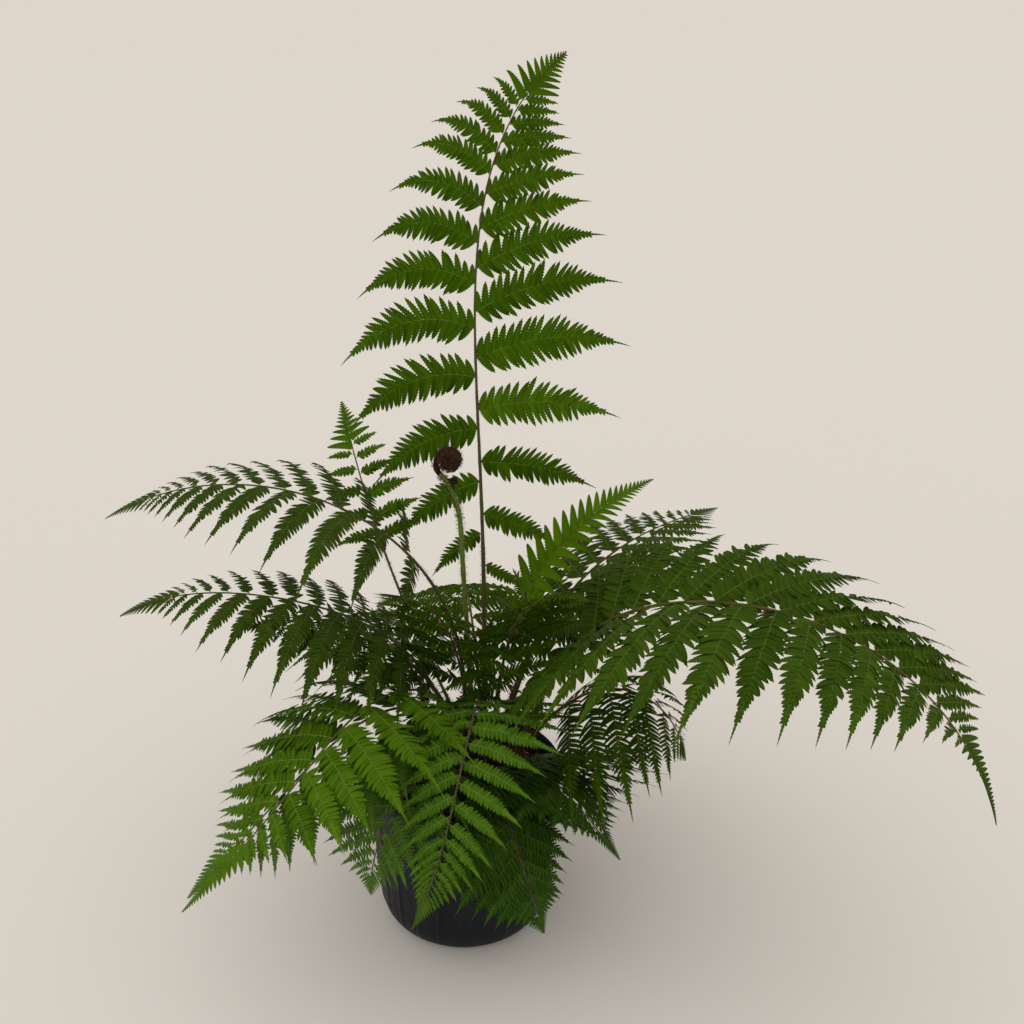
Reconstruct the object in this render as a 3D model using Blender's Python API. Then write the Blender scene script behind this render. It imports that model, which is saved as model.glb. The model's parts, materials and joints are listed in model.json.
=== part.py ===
"""Australian tree fern, young, in a ribbed nursery pot.

Metres, +Z up. The origin is the middle of the pot's flat underside.
Every frond is worked out from named sizes: its seat on the crown, the way it
leaves it, how it arches, bends and twists, how much of it is bare stipe, and
how long its side leaflets are and how they sweep, lift and droop.
A blade is a thin comb of leaflets on its rib, which is split at the frond's bend.
"""
import math

import bmesh
import bpy
import numpy as np
from mathutils.bvhtree import BVHTree

# ---- driving sizes, in metres and degrees ----
GAP = 0.0003              # clearance between neighbouring solids

POT_HEIGHT = 0.241
POT_TOP_R = 0.1389        # body, carried up to the top edge
POT_FOOT_R = 0.1223       # body, carried down to the ground
POT_FOOT_ROUND = 0.040    # height of the rounded foot
POT_FOOT_IN = 0.62        # how far it draws in, as a share of that height
POT_RIM_R = 0.1420
POT_RIM_DROP = 0.018
POT_WALL = 0.0025
POT_SIDES = 24
SOIL_TOP = 0.220

CROWN_X, CROWN_Y = 0.030, 0.0
CROWN_TOP = 0.2687
CROWN_FALL = 8.0          # how steeply its top falls away, per metre
CROWN_R = 0.056
CROWN_SIDES = 14

STEPS = 60                # steps along a frond's centre line
STIPE_SIDES = 6
STIPE_RINGS = 5
STIPE_FOOT_R = 0.0052
STIPE_END_R = 0.0036
BLADE_THICK = 0.002
RIB_HALF = 0.0032         # half the width of the rib in a blade
FILL = 0.47               # half a leaflet's width, as a share of the spacing
NARROW = 0.17             # and no more than this share of its length
BASE_FILL = 0.34          # half the width of its base; the short ones meet their neighbours
TIP_FROM = 0.90           # from here on the leaflets run together in a spear
BENT_SHARE = 0.7         # leaflets longer than this share are bent in the middle
CLEAR = 0.0009            # room kept round every leaflet
GROUND = 0.004

CROZIER = dict(seat=(0.016, 205), az=180, el=89, roll=0, length=0.428, arch=(3, 3, 6, 10, 330), bend=(0, 0, 0), twist=0)
COIL_R, COIL_THICK = 0.0185, 0.021
BUD_R = 0.0062

# seat: distance from the crown's middle, and direction; az, el, roll: the way the stipe leaves;
# arch, bend, twist: degrees turned over the whole length, smoothly keyed from foot to tip;
# stipe: bare share of the length; span: longest leaflets, left and right;
# sweep, skew, lift, droop, curl: how the leaflets stand; form: first leaflet, place of the longest, taper;
# start: first leaflet on each side; steps: spacing from one to the next, keyed along the blade.
FRONDS = {
    "top": dict(
        seat=(0.012, 80), az=94, el=77, roll=-1, length=0.98, arch=(2, -16, -3, 13), bend=(-12, 10, -51, -272), twist=0,
        stipe=0.26, span=(0.21, 0.225), sweep=(-30, 29, 35), skew=-2, lift=(-1, 0), droop=(1.87, 1.14), curl=0.4,
        form=(0.28, 0.45, 0.76), start=(0.075, 0.012), steps=(0.1, 0.1, 0.078, 0.052, 0.042)),
    "right_large": dict(
        seat=(0.04, 338), az=348, el=57, roll=5, length=0.905, arch=(-240, 214, 135, 165, 147), bend=(-18, -31, -20), twist=-10,
        stipe=0.24, span=(0.209, 0.258), sweep=(-17, 32, -24), skew=27, lift=(18, 22), droop=(0.8, 1.3), curl=-0.27,
        form=(0.8, 0.355, 0.7), start=(0.065, 0.062), steps=(0.038, 0.056, 0.058, 0.036, 0.018)),
    "young_right": dict(
        seat=(0.02, 325), az=14, el=89, roll=-20, length=0.5, arch=(14, 48, 94, 61), bend=(-7, -2, -6), twist=13,
        stipe=0.42, span=(0.068, 0.123), sweep=(19, 29, 41), skew=-12, lift=(16, -7), droop=(0.29, 0.51), curl=-0.04,
        form=(0.85, 0.3, 0.8), start=(0.068, 0.008), steps=(0.088, 0.085, 0.085, 0.05, 0.03)),
    "back_right": dict(
        seat=(0.03, 35), az=43, el=72, roll=-5, length=0.568, arch=(25, 116, 75, 20), bend=(6, -2, 1), twist=-2,
        stipe=0.3, span=(0.169, 0.159), sweep=(19, 29, 45), skew=-2, lift=(-2, 4), droop=(0.55, 0.32), curl=0.12,
        form=(0.85, 0.3, 0.8), start=(0, 0.04), steps=(0.09, 0.085, 0.072, 0.048, 0.025)),
    "right_under": dict(
        seat=(0.043, 358), az=-12, el=57, roll=-6, length=0.355, arch=(3, 79, 254, 103), bend=(0, -7, 0), twist=1,
        stipe=0.33, span=(0.15, 0.2), sweep=(12, 27, 44), skew=4, lift=(0, -6), droop=(1.3, 1.14), curl=0.25,
        form=(0.85, 0.3, 0.8), start=(0, 0.059), steps=(0.141, 0.12, 0.08, 0.05, 0.02)),
    "right_low": dict(
        seat=(0.043, 314), az=308, el=41, roll=-3, length=0.26, arch=(68, 111, 49, 16), bend=(-2, 8, 4), twist=-1,
        stipe=0.13, span=(0.115, 0.11), sweep=(20, 38, 45), skew=-2, lift=(-2, 8), droop=(0.44, 0.14), curl=0.12,
        form=(1.0, 0.22, 1.2), start=(0, 0.04), steps=(0.09, 0.085, 0.07, 0.05, 0.03)),
    "front_right": dict(
        seat=(0.043, 294), az=274, el=20, roll=12, length=0.276, arch=(90, 153, 112, 28), bend=(4, 9, -5), twist=2,
        stipe=0.19, span=(0.065, 0.095), sweep=(20, 35, 45), skew=2, lift=(-2, -1), droop=(0.48, 0.36), curl=0.1,
        form=(0.9, 0.3, 0.8), start=(0.03, 0.07), steps=(0.1, 0.09, 0.08, 0.055, 0.03)),
    "front": dict(
        seat=(0.043, 272), az=269, el=93, roll=5, length=0.548, arch=(46, 327, 184, 15), bend=(-7, -14, -32), twist=-31,
        stipe=0.15, span=(0.112, 0.106), sweep=(5, 21, 75), skew=-9, lift=(9, -4), droop=(0.37, 0.56), curl=0.17,
        form=(0.85, 0.3, 0.8), start=(0.042, 0.011), steps=(0.08, 0.055, 0.054, 0.048, 0.022)),
    "front_mid": dict(
        seat=(0.043, 252), az=245, el=56, roll=-9, length=0.351, arch=(47, 198, 197, 64), bend=(2, -6, -2), twist=-7,
        stipe=0.22, span=(0.111, 0.129), sweep=(10, 28, 45), skew=0, lift=(0, 9), droop=(0.5, 0.77), curl=0.1,
        form=(0.85, 0.3, 0.8), start=(0.02, 0.07), steps=(0.11, 0.1, 0.08, 0.05, 0.02)),
    "front_left": dict(
        seat=(0.043, 232), az=220, el=91, roll=-3, length=0.593, arch=(73, 303, -12, 3), bend=(-8, 18, -22), twist=13,
        stipe=0.15, span=(0.192, 0.19), sweep=(-6, 18, 36), skew=-2, lift=(6, 12), droop=(0.62, 0.98), curl=-0.06,
        form=(0.75, 0.407, 0.85), start=(0.083, 0.038), steps=(0.09, 0.088, 0.069, 0.042, 0.02)),
    "front_left_low": dict(
        seat=(0.045, 213), az=215, el=81, roll=9, length=0.568, arch=(71, 291, 50, 36), bend=(35, -26, -19), twist=-17,
        stipe=0.16, span=(0.15, 0.174), sweep=(8, 21, 43), skew=4, lift=(0, 8), droop=(0.8, 0.85), curl=0.06,
        form=(0.8, 0.35, 0.8), start=(0.072, 0.021), steps=(0.093, 0.09, 0.076, 0.048, 0.022)),
    "left_upper": dict(
        seat=(0.028, 174), az=180, el=93, roll=3, length=0.766, arch=(1, 152, 141, 131), bend=(5, -3, 5), twist=-5,
        stipe=0.36, span=(0.195, 0.196), sweep=(16, 29, 32), skew=-5, lift=(7, 7), droop=(0.99, 0.95), curl=0.06,
        form=(0.8, 0.3, 0.85), start=(0.076, 0.11), steps=(0.125, 0.095, 0.064, 0.044, 0.02)),
    "left_middle": dict(
        seat=(0.042, 192), az=192, el=84, roll=1, length=0.597, arch=(33, 144, 69, 209), bend=(11, -7, 8), twist=4,
        stipe=0.26, span=(0.192, 0.163), sweep=(9, 21, 45), skew=7, lift=(1, 10), droop=(1.11, 0.94), curl=0.11,
        form=(0.75, 0.357, 0.85), start=(0.022, 0.007), steps=(0.088, 0.077, 0.068, 0.048, 0.022)),
    "left_inner": dict(
        seat=(0.027, 205), az=203, el=74, roll=-9, length=0.434, arch=(-5, 97, 78, 73), bend=(2, 11, 6), twist=-3,
        stipe=0.3, span=(0.113, 0.097), sweep=(16, 21, 33), skew=8, lift=(-8, 13), droop=(0.37, 0.44), curl=0.02,
        form=(0.8, 0.3, 0.85), start=(0.023, 0.097), steps=(0.106, 0.124, 0.09, 0.06, 0.02)),
    "small_left": dict(
        seat=(0.03, 135), az=153, el=62, roll=-49, length=0.53, arch=(-1, -4, -15, -11), bend=(2, -17, -15), twist=1,
        stipe=0.62, span=(0.069, 0.089), sweep=(13, 14, 32), skew=-2, lift=(0, 2), droop=(0.39, 0.37), curl=-0.01,
        form=(0.9, 0.25, 0.8), start=(0.04, 0), steps=(0.145, 0.17, 0.11, 0.1, 0.04)),
    "centre_left": dict(
        seat=(0.031, 241), az=238, el=84, roll=0, length=0.42, arch=(0, 40, 120, 170), bend=(0, 0, 0), twist=0,
        stipe=0.3, span=(0.088, 0.088), sweep=(10, 24, 42), skew=0, lift=(2, 2), droop=(0.6, 0.6), curl=0.08,
        form=(0.8, 0.3, 0.85), start=(0, 0.05), steps=(0.11, 0.1, 0.08, 0.05, 0.02)),
    "centre_right": dict(
        seat=(0.027, 292), az=306, el=83, roll=0, length=0.43, arch=(0, 40, 120, 170), bend=(0, 0, 0), twist=0,
        stipe=0.3, span=(0.085, 0.085), sweep=(10, 24, 42), skew=0, lift=(2, 2), droop=(0.6, 0.6), curl=0.08,
        form=(0.8, 0.3, 0.85), start=(0.05, 0), steps=(0.11, 0.1, 0.08, 0.05, 0.02)),
    "back": dict(
        seat=(0.036, 92), az=98, el=55, roll=0, length=0.53, arch=(20, 150, 140, 100), bend=(0, 0, 0), twist=0,
        stipe=0.27, span=(0.165, 0.165), sweep=(8, 22, 42), skew=0, lift=(4, 4), droop=(0.9, 0.9), curl=0.08,
        form=(0.8, 0.3, 0.85), start=(0, 0.045), steps=(0.09, 0.085, 0.07, 0.048, 0.025)),
    "back_left": dict(
        seat=(0.04, 135), az=132, el=46, roll=0, length=0.5, arch=(20, 120, 130, 90), bend=(0, 0, 0), twist=0,
        stipe=0.27, span=(0.165, 0.165), sweep=(8, 22, 42), skew=0, lift=(4, 4), droop=(0.9, 0.9), curl=0.08,
        form=(0.8, 0.3, 0.85), start=(0.03, 0), steps=(0.1, 0.09, 0.072, 0.05, 0.025)),
    "back_low": dict(
        seat=(0.041, 62), az=64, el=50, roll=0, length=0.5, arch=(20, 130, 140, 100), bend=(0, 0, 0), twist=0,
        stipe=0.27, span=(0.165, 0.165), sweep=(8, 22, 42), skew=0, lift=(4, 4), droop=(0.9, 0.9), curl=0.08,
        form=(0.8, 0.3, 0.85), start=(0, 0.04), steps=(0.095, 0.09, 0.072, 0.05, 0.025)),
}

# blades cut in one, two or three, and the order in which they take up room
PIECES = {
    "top": 2, "young_right": 1, "small_left": 1, "left_upper": 2, "left_middle": 2, "left_inner": 1,
    "front_left": 2, "front_left_low": 2, "front_mid": 1, "front": 2, "front_right": 1, "right_low": 1,
    "right_large": 3, "right_under": 2, "back_right": 2, "back": 2, "back_left": 2, "back_low": 2,
    "centre_left": 1, "centre_right": 1,
}
ORDER = ("right_large", "top", "left_upper", "left_middle", "front_left", "front", "young_right", "back_right",
         "left_inner", "front_right", "right_low", "right_under", "small_left", "front_left_low", "front_mid",
         "centre_left", "centre_right", "back", "back_left", "back_low")
PIECE_NAMES = {1: ("blade",), 2: ("inner", "outer"), 3: ("inner", "middle", "outer")}
SPLITS = {1: (), 2: (0.42,), 3: (0.30, 0.62)}


def keyed(keys, s):
    """Smooth value at s in 0..1 through evenly spaced keys."""
    k = len(keys)
    x = min(max(s, 0.0), 1.0) * (k - 1)
    i = min(int(x), k - 2)
    f = x - i
    p1, p2 = keys[i], keys[i + 1]
    p0 = keys[i - 1] if i > 0 else 2 * p1 - p2
    p3 = keys[i + 2] if i + 2 < k else 2 * p2 - p1
    return 0.5 * (2 * p1 + (p2 - p0) * f + (2 * p0 - 5 * p1 + 4 * p2 - p3) * f * f
                  + (3 * p1 - p0 - 3 * p2 + p3) * f ** 3)


def unit(v):
    return v / np.maximum(np.linalg.norm(v, axis=-1, keepdims=True), 1e-12)


def turn(v, axis, angle):
    c, s = math.cos(angle), math.sin(angle)
    return v * c + np.cross(axis, v) * s + axis * np.dot(axis, v) * (1 - c)


def crown_height(q):
    """Height of the crown's rounded top at distance q from its middle."""
    return CROWN_TOP - CROWN_FALL * q * q


def rachis(f):
    """Centre line of a frond with its frame: T along it, S to its left, N off its upper face."""
    a, e, r = (math.radians(v) for v in (f["az"], f["el"], f["roll"]))
    T = np.array((math.cos(e) * math.cos(a), math.cos(e) * math.sin(a), math.sin(e)))
    S = np.array((-math.sin(a), math.cos(a), 0.0))
    N = np.cross(T, S)
    S, N = S * math.cos(r) + N * math.sin(r), N * math.cos(r) - S * math.sin(r)
    q, ba = f["seat"][0], math.radians(f["seat"][1])
    p = np.array((CROWN_X + q * math.cos(ba), CROWN_Y + q * math.sin(ba), crown_height(q)))
    ds = 1.0 / STEPS
    P, TT, SS, NN = [p.copy()], [T], [S], [N]
    for i in range(STEPS):
        s = (i + 0.5) * ds
        T = turn(T, S, math.radians(keyed(f["arch"], s)) * ds)
        T = unit(turn(T, N, math.radians(keyed(f["bend"], s)) * ds))
        S = S - T * np.dot(S, T)
        S = unit(turn(S, T, math.radians(f["twist"]) * ds))
        N = np.cross(T, S)
        p = p + T * f["length"] * ds
        P.append(p.copy())
        TT.append(T)
        SS.append(S)
        NN.append(N)
    return np.array(P), np.array(TT), np.array(SS), np.array(NN)


def at(rows, s):
    x = np.clip(np.asarray(s, float), 0, 1) * STEPS
    i = np.minimum(x.astype(int), STEPS - 1)
    w = (x - i)[..., None]
    return rows[i] * (1 - w) + rows[i + 1] * w


def profile(u, f):
    """Leaflet length along the blade, as a share of the longest."""
    low_end, peak, power = f["form"]
    u = np.asarray(u, float)
    low = low_end + (1 - low_end) * np.sin(np.pi / 2 * np.clip(u / peak, 0, 1))
    high = np.clip((1 - u) / (1 - peak), 0, 1) ** power
    return np.where(u < peak, low, high)


def stations(f, side):
    """Places along the blade where leaflets leave on the left (1) or right (-1)."""
    us, u = [], f["start"][0 if side > 0 else 1]
    while u < 0.985:
        us.append(u)
        u += keyed(f["steps"], u)
    return us


def leaflets(f, frame, us, side, cuts=8):
    """Midribs of the side leaflets that leave at us, on the left (1) or right (-1)."""
    P, T, S, N = frame
    s = f["stipe"] + (1 - f["stipe"]) * us
    p, t, sd, n = at(P, s), unit(at(T, s)), unit(at(S, s)) * side, unit(at(N, s))
    k = 0 if side > 0 else 1
    span = f["span"][k]
    length = span * profile(us, f)
    sweep = np.radians(np.array([keyed(f["sweep"], v) for v in us]) + side * f["skew"])
    lift = math.radians(f["lift"][k])
    d0 = np.cos(sweep)[:, None] * sd + np.sin(sweep)[:, None] * t
    d0 = math.cos(lift) * d0 + math.sin(lift) * n
    pts, dirs = [p], []
    for j in range(cuts):
        x = (j + 0.5) / cuts
        g = f["droop"][k] * x * (0.45 + 0.55 * length / span)
        d = unit(d0 + np.outer(g, (0, 0, -1.0)) + f["curl"] * x * t)
        p = p + d * (length / cuts)[:, None]
        pts.append(p)
        dirs.append(d)
    dirs.append(dirs[-1])
    return np.stack(pts, 1), np.stack(dirs, 1), length, n, t


def shut(mid, faces, normals, thick):
    """A thin closed plate from a flat sheet: top, underside and the edges between."""
    mid, normals = np.array(mid), unit(np.array(normals))
    n = len(mid)
    verts = np.concatenate((mid + normals * thick / 2, mid - normals * thick / 2))
    out, edges = [], {}
    for a, b, c in faces:
        if np.dot(np.cross(mid[b] - mid[a], mid[c] - mid[a]), normals[a] + normals[b] + normals[c]) < 0:
            b, c = c, b
        out += [(a, b, c), (a + n, c + n, b + n)]
        for e in ((a, b), (b, c), (c, a)):
            edges[e] = edges.get(e, 0) + 1
    for (a, b) in edges:
        if (b, a) not in edges:
            out += [(b, a, a + n), (b, a + n, b + n)]
    return verts, out


def tree(verts, faces):
    return BVHTree.FromPolygons([tuple(v) for v in verts], faces, epsilon=0.0)


def pot_radius(z):
    """Outside of the pot's body at height z, with its rounded foot."""
    r = POT_FOOT_R + (POT_TOP_R - POT_FOOT_R) * z / POT_HEIGHT
    if z < POT_FOOT_ROUND:
        d = POT_FOOT_ROUND - z
        r -= POT_FOOT_IN * (POT_FOOT_ROUND - math.sqrt(max(POT_FOOT_ROUND ** 2 - d * d, 0)))
    return r


def in_pot(p):
    """Whether a point lies in the pot, its soil or the crown."""
    r = math.hypot(p[0], p[1])
    wall = pot_radius(min(max(p[2], 0), POT_HEIGHT))
    if p[2] < POT_HEIGHT + 0.003 and r < wall + 0.007:
        return r > wall - 0.012 or p[2] < SOIL_TOP + 0.003
    q = math.hypot(p[0] - CROWN_X, p[1] - CROWN_Y)
    return q < CROWN_R + 0.002 and p[2] < crown_height(q) + 0.003


def leaflet_sheet(f, frame, u, side, room, share):
    """One leaflet past its base edge: corner points, normals, triangles and midrib; the base edge comes first."""
    pts, dirs, length, n, t = leaflets(f, frame, np.array([u]), side)
    pts, dirs, n, t, length = pts[0], dirs[0], n[0], t[0], length[0]
    half = min(FILL * room * np.linalg.norm(np.cross(t, dirs[0])) - CLEAR, NARROW * length)
    corners, tris, norms = [], [], []

    def across(i):
        w = unit(t - dirs[i] * np.dot(t, dirs[i]))
        m = unit(np.cross(dirs[i], w))
        return w, m if np.dot(m, n) > 0 else -m

    last = int(round(8 * share))
    tip = pts[last]
    bent = is_bent(f, u) and last >= 4
    if bent:
        i = int(last * 0.6)
        w, m = across(i)
        corners += [pts[i] - w * half, pts[i] + w * half]
        norms += [m, m]
        tris += [(0, 1, 3), (0, 3, 2), (2, 3, 4)]
    else:
        tris += [(0, 1, 2)]
    w, m = across(max(last - 1, 0))
    corners.append(tip)
    norms.append(m)
    return corners, norms, tris, pts[:last + 1]


def is_bent(f, u):
    return profile(np.array([u]), f)[0] > BENT_SHARE


def knots(f, side, u0, u1, last):
    """Each leaflet on one side of the rib: its middle, where its base begins and ends, and its spacing."""
    rows = []
    for u in stations(f, side):
        step = keyed(f["steps"], u)
        top = TIP_FROM if last else u1
        h = min(step * (BASE_FILL if is_bent(f, u) else 0.5), u - u0 - 0.002, top - u - 0.002)
        if h > 0.08 * step:
            rows.append([u, u - h, u + h, step])
    for one, two in zip(rows, rows[1:]):
        if two[1] - one[2] < 0.1 * one[3]:         # short ones share the point between them
            one[2] = two[1] = (one[2] + two[1]) / 2
    return rows


def parting(f, near):
    """A place on the blade, close to the one asked for, that lies between leaflets on both sides."""
    us = stations(f, 1) + stations(f, -1)
    places = [near + 0.002 * k for k in range(-25, 26)]
    return max(places, key=lambda x: min(abs(x - u) for u in us))


def strip(f, frame, u0, u1, last, rows):
    """The rib between two places on the blade, with a spear at the tip; first its left knots, then its right."""
    end = u1
    if last:
        end = max(row[2] for side in rows for row in side[-1:]) + 0.004
    P, T, S, N = frame
    verts, norms, tris, cuts = [], [], [], []
    for side, own in zip((1, -1), rows):
        us = [u0]
        for row in own:
            if row[1] - us[-1] > 1e-6:
                us.append(row[1])
            row.append(len(us) - 1)
            us.append(row[2])
        us.append(end)
        s = f["stipe"] + (1 - f["stipe"]) * np.array(us)
        half = RIB_HALF * (1 - 0.55 * np.array(us))[:, None]
        verts += list(at(P, s) + unit(at(S, s)) * half * side)
        norms += list(unit(at(N, s)))
        cuts.append(us)
    left, right = cuts
    i = j = 0
    while i < len(left) - 1 or j < len(right) - 1:
        a, b = i, len(left) + j
        if j == len(right) - 1 or (i < len(left) - 1 and left[i + 1] <= right[j + 1]):
            tris.append((a, b, a + 1))
            i += 1
        else:
            tris.append((a, b, b + 1))
            j += 1
    if last:
        s = f["stipe"] + (1 - f["stipe"]) * end
        w = 0.62 * profile(np.array([end]), f)[0] * min(f["span"])
        sd, t, n = unit(at(S, s)), unit(at(T, s)), unit(at(N, s))
        a, b, o = len(left) - 1, len(left) + len(right) - 1, len(verts)
        verts += [at(P, s) + (sd + t) * w * 0.7, P[-1], at(P, s) + (t - sd) * w * 0.7]
        norms += [n, N[-1], n]
        tris += [(a, b, o + 1), (a, o + 1, o), (b, o + 2, o + 1)]
    return verts, norms, tris, len(left)


def blocked(verts, faces, points, taken):
    if any(q[2] < GROUND or in_pot(q) for q in points):
        return True
    me = tree(verts, faces)
    return any(me.overlap(other) for other in taken)


def wedge_shell(base, corners, norms, tris, grow):
    """A leaflet's own closed plate, a little larger all round, to test for room."""
    pts = [np.array(v) for v in base] + [np.array(c) for c in corners]
    nn = [norms[0], norms[0]] + list(norms)
    mid = sum(pts) / len(pts)
    big = [p + unit(p - mid) * grow for p in pts]
    return shut(big, tris, nn, BLADE_THICK + 2 * grow)


def ring_tube(centres, radii, sides, frames):
    verts, faces = [], []
    for c, r, (s, n) in zip(centres, radii, frames):
        for k in range(sides):
            a = 2 * math.pi * k / sides
            verts.append(c + (s * math.cos(a) + n * math.sin(a)) * r)
    rings = len(centres)
    for i in range(rings - 1):
        for k in range(sides):
            a, b = i * sides + k, i * sides + (k + 1) % sides
            faces += [(a, b, b + sides), (a, b + sides, a + sides)]
    for k in range(1, sides - 1):
        faces.append((0, k + 1, k))
        o = (rings - 1) * sides
        faces.append((o, o + k, o + k + 1))
    return verts, faces


def stipe(f, frame, end, foot_r, end_r):
    """Bare stalk from the crown's top to where the leaflets begin."""
    P, T, S, N = frame
    s = np.linspace(0, end, STIPE_RINGS)
    c, sd, n = at(P, s), unit(at(S, s)), unit(at(N, s))
    r = foot_r + (end_r - foot_r) * np.linspace(0, 1, STIPE_RINGS) ** 0.7
    verts, faces = ring_tube(c, r, STIPE_SIDES, list(zip(sd, n)))
    t = unit(at(T, 0.0))
    for k in range(STIPE_SIDES):        # the foot follows the crown's surface
        v, lo, hi = verts[k], -0.02, 0.04
        for _ in range(40):
            m = (lo + hi) / 2
            w = v + t * m
            q = math.hypot(w[0] - CROWN_X, w[1] - CROWN_Y)
            if w[2] < crown_height(q) + 3 * GAP:
                lo = m
            else:
                hi = m
        verts[k] = v + t * hi
    return verts, faces


def material(name, colour, rough):
    m = bpy.data.materials.new(name)
    m.use_nodes = True
    p = m.node_tree.nodes["Principled BSDF"]
    p.inputs["Base Color"].default_value = (*colour, 1)
    p.inputs["Roughness"].default_value = rough
    p.inputs["Metallic"].default_value = 0.0
    return m


def piece(name, verts, faces, mat, smooth=False):
    me = bpy.data.meshes.new(name)
    me.from_pydata([tuple(float(x) for x in v) for v in verts], [], faces)
    me.materials.append(mat)
    ob = bpy.data.objects.new(name, me)
    bpy.context.scene.collection.objects.link(ob)
    bm = bmesh.new()
    bm.from_mesh(me)
    bmesh.ops.recalc_face_normals(bm, faces=bm.faces)
    bm.to_mesh(me)
    bm.free()
    if smooth:
        me.shade_smooth()
        me.set_sharp_from_angle(angle=math.radians(40))
    return ob


def turned(outline, sides, cx=0.0, cy=0.0, phase=0.0):
    """A closed turned body from (radius, height) pairs; a radius of 0 is a point on the axis."""
    verts, faces, rings = [], [], []
    for r, z in outline:
        if r == 0:
            rings.append([len(verts)])
            verts.append((cx, cy, z))
        else:
            rings.append(list(range(len(verts), len(verts) + sides)))
            for k in range(sides):
                a = 2 * math.pi * (k + phase) / sides
                verts.append((cx + r * math.cos(a), cy + r * math.sin(a), z))
    for lo, hi in zip(rings, rings[1:]):
        for k in range(sides):
            j = (k + 1) % sides
            if len(lo) == 1:
                faces.append((lo[0], hi[j], hi[k]))
            elif len(hi) == 1:
                faces.append((lo[k], lo[j], hi[0]))
            else:
                faces += [(lo[k], lo[j], hi[j]), (lo[k], hi[j], hi[k])]
    return verts, faces


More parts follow.
